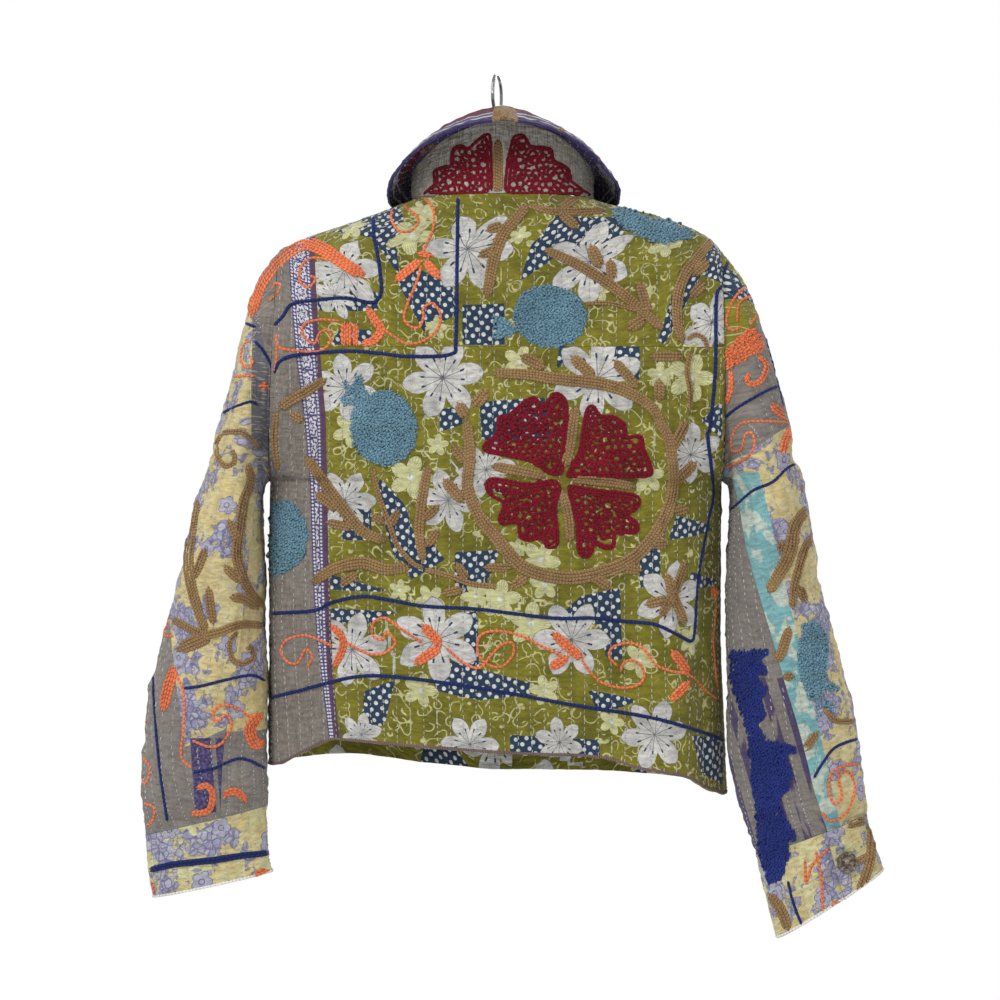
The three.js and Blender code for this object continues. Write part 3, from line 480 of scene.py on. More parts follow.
frontCloth = dict(
    flat=(0.26, 0.56), area=0.131,
    leftCreases=[(-20, 120, 70, 130, 7, -2.0), (30, 300, 95, 220, 9, 2.0), (-60, 420, 85, 160, 9, -2.0)],
    rightCreases=[(20, 110, 110, 130, 7, -2.0), (-30, 330, 88, 220, 9, 2.0), (60, 430, 95, 160, 8, -1.8)],
)
bodyCloth("left_front_cloth", "front", (-1, frontLap), heightsBetween(neckZ, hemZ, "front"),
          seamAt=(1, 0, 1, 0), creases=frontCloth["leftCreases"], seed=4)
bodyCloth("right_front_cloth", "front", (-frontLap, 1), heightsBetween(neckZ, hemZ, "front"),
          seamAt=(1, 0, 0, 1), creases=frontCloth["rightCreases"], seed=5)

# the way each sleeve hangs, the gap at its seams in degrees, and its length and widths in millimetres
sleeveCloth = dict(
    axis=dict(left=(-0.1, 0, -1), right=(0.16, 0, -1)), seamHalf=0.15,
    length=560, topWidth=330, underWidth=130,
    top=dict(flat=(0.36, 0.57), area=0.112),
    leftUnder=dict(flat=(0.10, 0.40), area=0.028),
    rightUnder=dict(flat=(0.13, 0.44), area=0.039),
    creases=dict(
        left=[(-40, 150, 70, 150, 8, -2.6), (20, 210, 20, 120, 7, -2.8), (-30, 250, -25, 130, 7, 2.2),
              (40, 320, 15, 120, 7, -2.4), (-50, 360, -30, 110, 7, -2.2), (0, 420, 10, 110, 6, 1.8),
              (-20, 470, -15, 90, 6, -1.8), (90, 260, 60, 180, 9, 2.0)],
        right=[(40, 150, 110, 150, 8, -2.4), (-20, 200, -20, 120, 7, -2.8), (30, 250, 25, 130, 7, 2.2),
               (-40, 320, -15, 120, 7, -2.4), (40, 380, 30, 110, 7, -2.2), (0, 430, -10, 110, 6, 1.8),
               (20, 480, 15, 90, 6, -1.8), (-90, 260, 120, 180, 9, 2.0)],
    ),
)


def sleevePiece(sleeve, part):
    along = np.linspace(0, 1, steps(sleeveCloth["length"], grid["sleeve"]))
    inX, inZ, outX, outZ, midY, _, seam = sleeveForm(sleeve, along)
    front = frontSeam[0] + (frontSeam[1] - frontSeam[0]) * along
    half = sleeveCloth["seamHalf"]
    share = np.linspace(0, 1, steps(sleeveCloth[part + "Width"], grid["sleeve"]))
    first, last = (seam - 360 + half, front - half) if part == "top" else (front + half, seam - half)
    degrees = first[:, None] + (last - first)[:, None] * share[None, :]
    points = sleevePoints(sleeve, np.broadcast_to(along[:, None], degrees.shape), degrees)
    outward = points - np.array([(inX + outX) / 2, midY, (inZ + outZ) / 2]).T[:, None, :]
    sewCloth(f"{sleeve}_{part}_sleeve_cloth", points, outward,
             creases=sleeveCloth["creases"][sleeve] if part == "top" else (),
             seed=6 if sleeve == "left" else 7, axis=sleeveCloth["axis"][sleeve], spaced=grid["sleeve"])


for sleeve in ("left", "right"):
    for part in ("top", "under"):
        sleevePiece(sleeve, part)

# lengths and steps are in millimetres, and rise is how far the lap lies over the cuff
cuffCloth = dict(
    flat=(0.32, 0.077), area=0.0195, around=(330, 2.9), down=(76, 2.6), rise=2.4, lapEnds=(4, 44),
    creases=[(-60, 40, 80, 60, 7, -1.2), (30, 30, 100, 60, 8, 1.2)],
)


def cuffPoints(sleeve, down, degrees):
    cuff = cuffForms[sleeve]
    inX, inZ, outX, outZ, midY, half = [
        sleeveForms[sleeve][name][-1] for name in ("inX", "inZ", "outX", "outZ", "midY", "half")]
    step = np.array([outZ - inZ, inX - outX])
    step = step / np.linalg.norm(step) * gap * np.sign(outX - inX)
    top = (inX + step[0], inZ + step[1], outX + step[0], outZ + step[1], midY, half)
    form = [a + (b - a) * down for a, b in zip(top, cuff["bottom"])]
    past = degrees - cuff["lap"] - cuff["lapLength"]
    grow = (cuffCloth["rise"] + gap * 3) * (1 - ease(past, *cuffCloth["lapEnds"]))
    return ovalPoints(form, degrees, grow)


for sleeve in ("left", "right"):
    cuff = cuffForms[sleeve]
    degrees = cuff["lap"] + (360 + cuff["lapLength"]) * np.linspace(0, 1, steps(*cuffCloth["around"]))
    down = np.linspace(0, 1, steps(*cuffCloth["down"]))
    down, degrees = np.meshgrid(down, degrees, indexing="ij")
    points = cuffPoints(sleeve, down, degrees)
    sewCloth(f"{sleeve}_cuff_cloth", points, points - points.mean(axis=(0, 1)), quilted=0.7, seed=9,
             creases=cuffCloth["creases"])

# fine is how the stand, the fold and the fall are divided: from, to and count
collarCloth = dict(flat=(0.62, 0.12), area=0.050, reach=1.993, around=(640, 3.3),
                   fine=((0, 3, 22), (3, 6, 9), (6, 8, 17)))
at = np.linspace(-collarCloth["reach"], collarCloth["reach"], steps(*collarCloth["around"]))
profile, seamOut = collarMiddle(at)
fine = np.unique(np.concatenate([np.linspace(*part) for part in collarCloth["fine"]]))
low = np.clip(np.floor(fine).astype(int), 0, 7)
ghost = withGhosts(profile)
middle = curveBetween(*(ghost[low + k] for k in range(4)), (fine - low)[:, None, None])
outward = np.zeros_like(middle)
outward[:] = seamOut
outward[fine > 5] = (0, 0, 1)
normals = gridNormals(middle, outward)
normals[0] = seamOut
sewCloth("collar_cloth", middle + normals * wall / 2, normals, seamAt=(1, 0, 0, 0), quilted=0.6, seed=8)
print("cloth cut:", {name: (round(c["area"], 4), c["points"].shape[:2]) for name, c in cloths.items()})


def flatPlace(cloth, x, z):
    # the flat place of the cloth's point that shows at x, z in the camera's plane
    points = cloth["points"]
    eyeX, eyeY, eyeZ = camera["place"]
    near = (camera["focusY"] - eyeY) / (points[..., 1] * mm - eyeY)
    shownX = eyeX / mm + (points[..., 0] - eyeX / mm) * near
    shownZ = eyeZ / mm + (points[..., 2] - eyeZ / mm) * near
    facesAway = cloth["normals"][..., 1] > 0.2
    k = int(np.argmin((shownX - x) ** 2 + (shownZ - z) ** 2 + 1e6 * facesAway))
    return np.array([cloth["u"].flat[k] + x - shownX.flat[k], cloth["v"].flat[k] + z - shownZ.flat[k]])


def markMotifs(cloth, name, motifs):
    # motifs: u, v, radius, turn. The attribute holds the place inside the nearest motif, 1 at its rim
    flat = cloth["flat"]
    best, inX, inY = np.full(len(flat), 1e9), np.zeros(len(flat)), np.zeros(len(flat))
    for u, v, radius, turn in motifs:
        off = (flat - (u, v)) / radius
        away = np.hypot(off[:, 0], off[:, 1])
        pick = away < best
        best[pick] = away[pick]
        co, si = math.cos(math.radians(turn)), math.sin(math.radians(turn))
        inX[pick] = (off[:, 0] * co + off[:, 1] * si)[pick]
        inY[pick] = (off[:, 1] * co - off[:, 0] * si)[pick]
    writeMarks(cloth, name, inX, inY, best < 1.22)


def insideOutline(points, outline):
    # how far each point is inside an outline, or outside it where the number is negative
    corners = np.array(outline, float)
    crossed = np.zeros(len(points), dtype=bool)
    away = np.full(len(points), 1e9)
    for a, b in zip(corners, np.roll(corners, -1, axis=0)):
        t = np.clip(((points - a) @ (b - a)) / ((b - a) @ (b - a)), 0, 1)
        away = np.minimum(away, np.linalg.norm(points - a - t[:, None] * (b - a), axis=1))
        if a[1] != b[1]:
            crossed ^= ((a[1] > points[:, 1]) != (b[1] > points[:, 1])) & (
                points[:, 0] < (b[0] - a[0]) * (points[:, 1] - a[1]) / (b[1] - a[1]) + a[0])
    return np.where(crossed, away, -away)


def markPatches(cloth, name, patches):
    # patches: outlines on the flat cloth. The attribute is how far inside the nearest one a point is
    inside = np.full(len(cloth["flat"]), -40.0)
    for outline in patches:
        inside = np.maximum(inside, insideOutline(cloth["flat"], outline))
    writeMarks(cloth, name, inside)


def writeMarks(cloth, name, *columns):
    # up to three numbers at every point of the cloth, for its material
    marks = np.zeros((cloth["u"].size, 3), dtype=np.float32)
    for k, column in enumerate(columns):
        marks[:, k] = np.ravel(column)
    layer = cloth["piece"].data.attributes.new(name, "FLOAT_VECTOR", "POINT")
    layer.data.foreach_set("vector", marks.ravel())


def scatter(cloth, each, radius, seed, clear=()):
    # random places over a cloth, kept apart from each other and from the places in clear
    low = [cloth["u"].min(), cloth["v"].min()]
    high = [cloth["u"].max(), cloth["v"].max()]
    pick = np.random.default_rng(seed)
    kept, busy = [], [(*c[:2], c[2]) for c in clear]
    for _ in range(500):
        u, v = pick.uniform(low, high)
        size = radius * pick.uniform(0.85, 1.2)
        if all(math.hypot(u - a, v - b) > each * 0.5 * (1 + s / radius) for a, b, s in busy):
            kept.append((u, v, size, pick.uniform(0, 360)))
            busy.append((u, v, size))
    return kept


def kites(cloth, count, size, seed):
    # random straight-edged patches
    pick = np.random.default_rng(seed)
    made = []
    for _ in range(count):
        u = pick.uniform(cloth["u"].min(), cloth["u"].max())
        v = pick.uniform(cloth["v"].min(), cloth["v"].max())
        turn, sides = pick.uniform(0, 90), pick.integers(3, 5)
        made.append([(u + size * pick.uniform(.55, 1.1) * math.cos(math.radians(turn + 360 * k / sides)),
                      v + size * pick.uniform(.55, 1.1) * math.sin(math.radians(turn + 360 * k / sides)))
                     for k in range(sides)])
    return made


def placed(cloth, motifs):
    return [(*flatPlace(cloth, x, z), radius, turn) for x, z, radius, turn in motifs]


printPlaces = dict(
    # white lilies: x, z, radius, turn
    yokeLilies=chart(
        "-141,-185,37,20 -27,-166,43,0 86,-178,41,30 199,-233,31,10 -150,-209,22,60 208,-150,22,0"),
    panelLilies=chart(
        "-50,-285,39,10 -140,-294,33,40 93,-285,43,20 -141,-398,31,0 -45,-398,31,50 -10,-370,28,10 "
        "-134,-536,37,15 -56,-527,41,35 69,-527,37,0 179,-356,31,30 162,-490,35,20 -25,-624,28,0 "
        "-125,-615,22,20 58,-622,24,40 146,-615,33,10"),
    # pale green flowers and leaves
    yokeSprigs=chart(
        "-79,-153,24,0 -67,-131,14,30 155,-162,18,60 21,-154,11,10 -134,-146,15,40 95,-204,13,0 "
        "188,-254,18,20 10,-240,11,0 -56,-239,11,90"),
    panelSprigs=chart(
        "-55,-347,11,10 -80,-377,22,0 -136,-333,18,60 21,-270,17,0 151,-282,13,20 179,-285,24,0 "
        "44,-476,15,20 18,-442,9,0 40,-453,20,60 -20,-487,15,40 31,-513,22,10 -71,-574,17,0 "
        "44,-574,15,30 106,-603,13,0 132,-546,17,60 140,-377,17,20 -90,-481,11,10 3,-490,20,10 "
        "179,-527,15,0 -62,-490,15,50"),
    # navy patches with white dots: outlines
    yokePatches=charts(
        "-114,-133 -108,-131 -90,-157 -90,-191; -101,-123 -90,-126 -93,-157 -117,-155 -154,-150; "
        "-92,-196 -73,-183 -42,-200 -34,-224 -68,-242; -32,-217 7,-216 7,-254 -32,-254; "
        "54,-135 116,-136 114,-159 68,-163 21,-196; 169,-185 192,-183 155,-254 149,-250; "
        "188,-148 214,-157 212,-204 191,-190; -141,-204 -110,-205 -110,-222 -167,-222 -166,-215; "
        "-154,-254 -117,-254 -116,-240 -145,-239"),
    panelPatches=charts(
        "-16,-307 44,-303 51,-342 -14,-342; 105,-254 132,-255 132,-287 110,-278; "
        "-53,-314 -32,-310 -32,-328 -53,-335; -110,-377 -85,-402 -67,-458 -94,-453 -108,-407; "
        "-94,-427 -62,-435 -48,-453 -80,-472; -39,-446 3,-444 -16,-490 -39,-483; "
        "77,-487 114,-479 116,-546 101,-544 95,-513 55,-507; 132,-449 151,-439 151,-467 132,-481; "
        "166,-412 202,-424 158,-435; 179,-464 208,-472 179,-481; -154,-481 -94,-483 -154,-467; "
        "-154,-498 -90,-501 -122,-513 -153,-511; -34,-501 -18,-501 -16,-564 -27,-546; "
        "-62,-541 58,-574 -16,-583 -57,-574; -122,-574 -94,-564 -104,-606 -127,-610; "
        "12,-615 95,-620 95,-648 12,-643; 179,-615 208,-615 208,-661 188,-648; 84,-574 132,-583 95,-597; "
        "-145,-402 -116,-405 -116,-435 -143,-435; 58,-254 72,-259 54,-279; 188,-324 208,-305 208,-342"),
)

# the colours of the prints and the plain cloths
inks = dict(
    olive=(0.215, 0.195, 0.018), oliveDark=(0.13, 0.12, 0.012), cream=(0.60, 0.58, 0.30),
    navy=(0.022, 0.045, 0.085), dot=(0.62, 0.64, 0.62), lily=(0.60, 0.585, 0.555),
    lilyShade=(0.40, 0.40, 0.38),
    leaf=(0.42, 0.42, 0.16), leafPale=(0.58, 0.57, 0.32), line=(0.05, 0.07, 0.09),
    taupe=(0.245, 0.215, 0.185), taupeDark=(0.17, 0.15, 0.13), band=(0.62, 0.61, 0.66),
    bandInk=(0.085, 0.07, 0.17),
    plum=(0.10, 0.05, 0.085), yellow=(0.58, 0.475, 0.22), lavender=(0.30, 0.29, 0.42),
    lavenderPale=(0.43, 0.42, 0.50), lavenderLine=(0.13, 0.13, 0.24),
    grey=(0.19, 0.175, 0.165), purple=(0.055, 0.035, 0.12), turquoise=(0.19, 0.41, 0.43),
    turquoisePale=(0.50, 0.58, 0.50), yellowPale=(0.60, 0.53, 0.30), stand=(0.50, 0.48, 0.43),
    violet=(0.078, 0.052, 0.145),
)


class Flow:
    # a number or colour that comes out of a node; sums with it add the nodes that work them out
    def __init__(self, weaver, socket):
        self.calc, self.socket = weaver.calc, socket

    def __add__(self, other):
        return self.calc("ADD", self, other)

    def __sub__(self, other):
        return self.calc("SUBTRACT", self, other)

    def __rsub__(self, other):
        return self.calc("SUBTRACT", other, self)

    def __mul__(self, other):
        return self.calc("MULTIPLY", self, other)

    def __truediv__(self, other):
        return self.calc("DIVIDE", self, other)

    def __pow__(self, other):
        return self.calc("POWER", self, other)

    def __abs__(self):
        return self.calc("ABSOLUTE", self)


class Weaver:
    # one material and a short way to wire its nodes
    def __init__(self, name, roughness=0.93, sheen=0.12):
        self.material = bpy.data.materials.new(name)
        self.material.use_nodes = True
        self.tree = self.material.node_tree
        self.shader = self.tree.nodes["Principled BSDF"]
        self.shade("Roughness", roughness)
        self.shade("Sheen Weight", sheen)
        self.shade("Sheen Roughness", 0.5)
        self.shade("Specular IOR Level", 0.2)

    def add(self, kind, **values):
        item = self.tree.nodes.new("ShaderNode" + kind)
        inputs = values.pop("inputs", {})
        for key, value in values.items():
            setattr(item, key, value)
        for key, value in inputs.items():
            self.feed(item.inputs[key], value)
        return item

    def take(self, kind, output=0, **values):
        return Flow(self, self.add(kind, **values).outputs[output])

    def feed(self, socket, value):
        if isinstance(value, Flow):
            self.tree.links.new(value.socket, socket)
        elif isinstance(value, tuple) and len(value) == 3 and len(socket.default_value) == 4:
            socket.default_value = (*value, 1)
        else:
            socket.default_value = value

    def calc(self, operation, a, b=0.0):
        return self.take("Math", operation=operation, inputs={0: a, 1: b, 2: 0.0})

    def step(self, value, start, end):
        return self.take("MapRange", interpolation_type="SMOOTHSTEP",
                         inputs={"Value": value, "From Min": start, "From Max": end, "To Min": 0.0,
                                 "To Max": 1.0})

    def spread(self, value, start, end, low, high):
        return self.take("MapRange", inputs={"Value": value, "From Min": start, "From Max": end,
                                             "To Min": low, "To Max": high})

    def mix(self, factor, a, b):
        return self.take("Mix", 2, data_type="RGBA", inputs={0: factor, 6: a, 7: b})

    def mottled(self, scale, detail, start, end, a, b):
        # patches of one colour in another, all over the flat cloth
        return self.mix(self.step(self.noise(self.flat(), scale, detail), start, end), a, b)

    def slubbed(self, across, end, a, b):
        # uneven yarn that runs along the cloth
        slub = self.noise(self.stretch(self.flat(), (across, 60.0, 1.0)), 1.0, 2.0)
        return self.mix(self.step(slub, 0.3, end), a, b)

    def toned(self, colour, value, start, end, dark, light):
        # darker to lighter as the value runs from start to end
        tone = self.spread(value, start, end, dark, light)
        return self.take("HueSaturation", inputs={"Value": tone, "Color": colour})

    def shade(self, name, value):
        self.feed(self.shader.inputs[name], value)

    def relief(self, strength, distance, height):
        self.shade("Normal", self.take("Bump", inputs={"Strength": strength, "Distance": distance,
                                                       "Height": height}))

    def flat(self):
        return self.take("UVMap", uv_map="cloth")

    def stretch(self, vector, scale, place=(0, 0, 0), turn=0.0):
        return self.take("Mapping", inputs={"Vector": vector, "Scale": scale, "Location": place,
                                            "Rotation": (0, 0, turn)})

    def split(self, vector):
        return [Flow(self, part) for part in self.add("SeparateXYZ", inputs={0: vector}).outputs]

    def marks(self, name):
        return self.split(self.take("Attribute", "Vector", attribute_name=name))

    def noise(self, vector, scale, detail=2.0, roughness=0.5):
        return self.take("TexNoise", inputs={"Vector": vector, "Scale": scale, "Detail": detail,
                                             "Roughness": roughness})

    def cells(self, vector, scale, randomness=1.0, feature="F1"):
        inputs = {"Vector": vector, "Scale": scale, "Randomness": randomness}
        made = self.add("TexVoronoi", feature=feature, inputs=inputs)
        return {output.name: Flow(self, output) for output in made.outputs}

    def petals(self, name, count, notch, sharp, wobble=0.16, point=0.0):
        # how far inside the flower a point is (1 at its heart), its radius and its place in a petal
        x, y, near = self.marks(name)
        rough = self.noise(self.flat(), 90.0, 2.0)
        radius = self.calc("SQRT", x * x + y * y)
        radius = radius + (rough - 0.5) * wobble
        turn = self.calc("ARCTAN2", y, x) * (count / (2 * math.pi))
        petal = self.calc("FRACT", turn + 10.5) - 0.5
        beside = abs(petal * 2.0)
        rim = 1.0 - beside ** sharp * notch
        rim = rim - beside * point
        inside = rim - radius
        inside = inside - self.calc("LESS_THAN", near, 0.5) * 9.0
        return inside, radius, beside, petal

    def finish(self, colour):
        # every cloth has its weave, the fine crinkle between the stitches with painted shade in its hollows,
        # and a little fading
        flat = self.flat()
        colour = self.toned(colour, self.noise(flat, 14.0, 4.0, 0.6), 0.3, 0.7, 0.86, 1.1)
        crinkle = self.noise(self.stretch(flat, (110.0, 260.0, 1.0)), 1.0, 3.0, 0.55)
        # painted shade: the colour is darkened in the hollows of the crinkle between the stitches, where the
        # bump is low
        self.shade("Base Color", self.toned(colour, crinkle, 0.3, 0.62, 0.72, 1.06))
        warp, weft = [self.take("TexWave", 1, wave_type="BANDS", bands_direction=way,
                                inputs={"Vector": flat, "Scale": 330.0, "Distortion": 1.5, "Detail": 1.0})
                      for way in "XY"]
        self.relief(0.85, 0.0042, crinkle + (warp + weft) * 0.045)
        return self.material


def squiggles(w, colour, ink, scale=1.0):
    # pale hooks and curls over the ground
    flat = w.flat()
    bent = w.take("TexNoise", 1, inputs={"Vector": flat, "Scale": 55.0 * scale, "Detail": 1.0})
    moved = w.take("VectorMath", operation="MULTIPLY_ADD", inputs={0: bent, 1: (0.012, 0.012, 0.0), 2: flat})
    cells = w.cells(moved, 78.0 * scale)
    ring = abs(cells["Distance"] - 0.36)
    line = 1.0 - w.step(ring, 0.02, 0.06)
    broken = w.step(w.noise(flat, 120.0 * scale, 1.0), 0.45, 0.50)
    other = abs(w.noise(flat, 62.0 * scale, 0.0) - 0.5)
    vein = (1.0 - w.step(other, 0.008, 0.022)) * w.step(w.noise(flat, 40.0 * scale, 1.0), 0.5, 0.56)
    amount = w.calc("MAXIMUM", line * broken, vein)
    return w.mix(amount * 0.8, colour, ink)


def dotted(w, turn=0.6, every=0.0072):
    dots = w.cells(w.stretch(w.flat(), (1 / every, 1 / every, 0.0), turn=turn), 1.0, 0.12)["Distance"]
    return w.mix(w.step(dots, 0.30, 0.25), inks["navy"], inks["dot"])


def gardenPrint(name, left=False):
    # olive ground, pale curls, navy dotted patches, pale green sprigs and white lilies
    w = Weaver(name)
    flat = w.flat()
    ground = w.mottled(30.0, 3.0, 0.35, 0.7, inks["olive"], inks["oliveDark"])
    colour = squiggles(w, ground, inks["cream"])
    patch = w.marks("patches")[0]
    colour = w.mix(w.step(patch, -0.2, 0.2), colour, dotted(w))
    inside, radius, beside, petal = w.petals("sprigs", 5, 0.5, 1.6)
    rays = w.calc("SINE", petal * 52.0)
    green = w.mix(w.step(rays, 0.1, 0.9), inks["leafPale"], inks["leaf"])
    green = w.mix(w.step(radius, 0.16, 0.08), green, inks["dot"])
    green = w.mix(w.step(inside, 0.07, 0.02), green, inks["oliveDark"])
    colour = w.mix(w.step(inside, 0.0, 0.02), colour, green)
    inside, radius, beside, petal = w.petals("lilies", 6, 0.30, 3.2, 0.12, 0.26)
    white = w.mottled(45.0, 2.0, 0.4, 0.75, inks["lily"], inks["lilyShade"])
    vein = 1.0 - w.step(beside * radius, 0.012, 0.03)
    white = w.mix(vein * 0.55, white, inks["lilyShade"])
    edgeLine = w.step(inside, 0.035, 0.015)
    white = w.mix(edgeLine * 0.8, white, inks["line"])
    hair = w.step(abs(beside - 0.45) * radius, 0.022, 0.01) * w.step(radius, 0.5, 0.46)
    white = w.mix(hair * 0.85, white, inks["line"])
    tips = w.step(abs(beside - 0.45) * radius, 0.05, 0.035) * w.step(abs(radius - 0.48), 0.06, 0.045)
    white = w.mix(tips, white, inks["navy"])
    colour = w.mix(w.step(inside, 0.0, 0.015), colour, white)
    if left:
        # taupe panel and its border band at the left of the back, where the band mark is under 0
        across, down, beyond = w.marks("band")
        taupe = w.slubbed(900.0, 0.7, inks["taupe"], inks["taupeDark"])
        colour = w.mix(w.step(across, 0.2, -0.2), colour, inks["plum"])
        # its middle: a ringed flower in a box, over and over, with a dark bar between
        boxed = w.calc("FRACT", down * (1 / 21.0) + 40.0) - 0.5
        beside = (across + 15.0) * 0.062
        away = w.calc("SQRT", boxed * boxed + beside * beside)
        lobes = w.calc("SINE", w.calc("ARCTAN2", boxed, beside) * 8.0) * 0.05
        rings = w.calc("SINE", (away + lobes) * 27.0)
        rings = rings + (w.noise(flat, 620.0, 1.0) - 0.5) * 2.4
        weaveBand = w.mix(w.step(rings, -0.45, -0.05), inks["bandInk"], inks["band"])
        bar = w.step(abs(boxed), 0.445, 0.455)
        weaveBand = w.mix(bar, weaveBand, inks["bandInk"])
        # a row of pale beads down both of its edges
        rim = w.calc("MINIMUM", beyond, -4.4 - across)
        along = w.calc("FRACT", down * (1 / 3.3)) - 0.5
        out = (rim - 2.1) / 3.3
        bead = w.calc("SQRT", along * along + out * out)
        weaveBand = w.mix(w.step(rim, 4.3, 3.9), weaveBand,
                          w.mix(w.step(bead, 0.36, 0.28), inks["bandInk"], inks["band"]))
        colour = w.mix(w.step(across, -4.2, -4.6), colour, weaveBand)
        colour = w.mix(w.step(beyond, 0.2, -0.2), colour, taupe)
    return w.finish(colour)


def plainCloth(name, colour, dark):
    w = Weaver(name)
    return w, w.slubbed(700.0, 0.75, colour, dark)


def lavenderPrint(w, ground):
    # pale yellow cloth with outlined lavender flowers on grey sprays
    flat = w.flat()
    clusters = w.noise(flat, 24.0, 2.0) + (w.noise(flat, 150.0, 1.0) - 0.5) * 0.3
    buds = w.cells(flat, 150.0, 0.9)
    edge = w.cells(flat, 150.0, 0.9, "DISTANCE_TO_EDGE")["Distance"]
    bud = w.mix(w.step(w.split(buds["Color"])[0], 0.3, 0.7), inks["lavender"], inks["lavenderPale"])
    bud = w.mix(w.step(buds["Distance"], 0.16, 0.10), bud, inks["leafPale"])
    bud = w.mix(w.step(edge, 0.11, 0.05) * 0.75, bud, inks["lavenderLine"])
    colour = w.mix(w.step(clusters, 0.545, 0.56), ground, bud)
    rim = w.step(abs(clusters - 0.54), 0.016, 0.006) * 0.7
    colour = w.mix(rim, colour, inks["lavenderLine"])
    inside, radius, beside, petal = w.petals("blooms", 5, 0.34, 2.0, 0.1)
    flower = w.mix(w.step(w.calc("SINE", petal * 40.0), 0.2, 0.9), inks["lavenderPale"], inks["lavender"])
    flower = w.mix(w.step(inside, 0.12, 0.05), flower, inks["lavenderLine"])
    flower = w.mix(w.step(abs(radius - 0.25), 0.06, 0.03), flower, inks["lavenderLine"])
    return w.mix(w.step(inside, 0.0, 0.02), colour, flower)


def bandMarks(cloth):
    # millimetres right of the band's right edge, down the cloth, and right of its left edge
    x, z = cloth["points"][..., 0], cloth["points"][..., 2]
    right, left = [x - np.interp(-z, *bandLine[edge]) for edge in ("right", "left")]
    writeMarks(cloth, "band", right, cloth["v"], left)


# the band's two edges: how far down, and how far across
bandLine = dict(
    right=([92, 178, 254, 324, 439, 555, 638], [-174, -168, -163, -157, -155, -151, -143]),
    left=([92, 174, 265, 326, 372, 480, 527, 627], [-198, -193, -185, -177, -173, -169, -166, -154]),
)


def dress(name, node, material, settings, restsOn):
    cloth = cloths[name]
    piece = cloth["piece"]
    piece.data.materials.append(material)
    thicken(piece)
    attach(piece, "root")
    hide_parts(node)
    cloth["settings"], cloth["restsOn"] = settings, restsOn


for name, kinds in (("back_yoke_cloth", "yoke"), ("back_panel_cloth", "panel")):
    cloth = cloths[name]
    lilies = placed(cloth, printPlaces[kinds + "Lilies"])
    sprigs = placed(cloth, printPlaces[kinds + "Sprigs"])
    markMotifs(cloth, "lilies", lilies)
    markMotifs(cloth, "sprigs", sprigs)
    markPatches(cloth, "patches", [[flatPlace(cloth, x, z) for x, z in outline]
                                   for outline in printPlaces[kinds + "Patches"]])
    bandMarks(cloth)
for name, seed in (("left_front_cloth", 21), ("right_front_cloth", 22), ("right_top_sleeve_cloth", 23)):
    cloth = cloths[name]
    lilies = scatter(cloth, 74, 38, seed)
    markMotifs(cloth, "lilies", lilies)
    markMotifs(cloth, "sprigs", scatter(cloth, 44, 17, seed + 10, lilies))
    markPatches(cloth, "patches", kites(cloth, 26, 34, seed + 20))
for name, seed in (("left_top_sleeve_cloth", 31), ("left_under_sleeve_cloth", 32),
                   ("right_top_sleeve_cloth", 33),
                   ("right_under_sleeve_cloth", 34), ("left_cuff_cloth", 35), ("right_cuff_cloth", 36)):
    markMotifs(cloths[name], "blooms", scatter(cloths[name], 46, 10, seed))

backPrint = gardenPrint("garden print, back", left=True)
frontPrint = gardenPrint("garden print, fronts")


# where a point shows from behind, for cloths that are pieced from several prints
for cloth in cloths.values():
    writeMarks(cloth, "place", *(cloth["points"][..., axis] for axis in (0, 2, 1)))


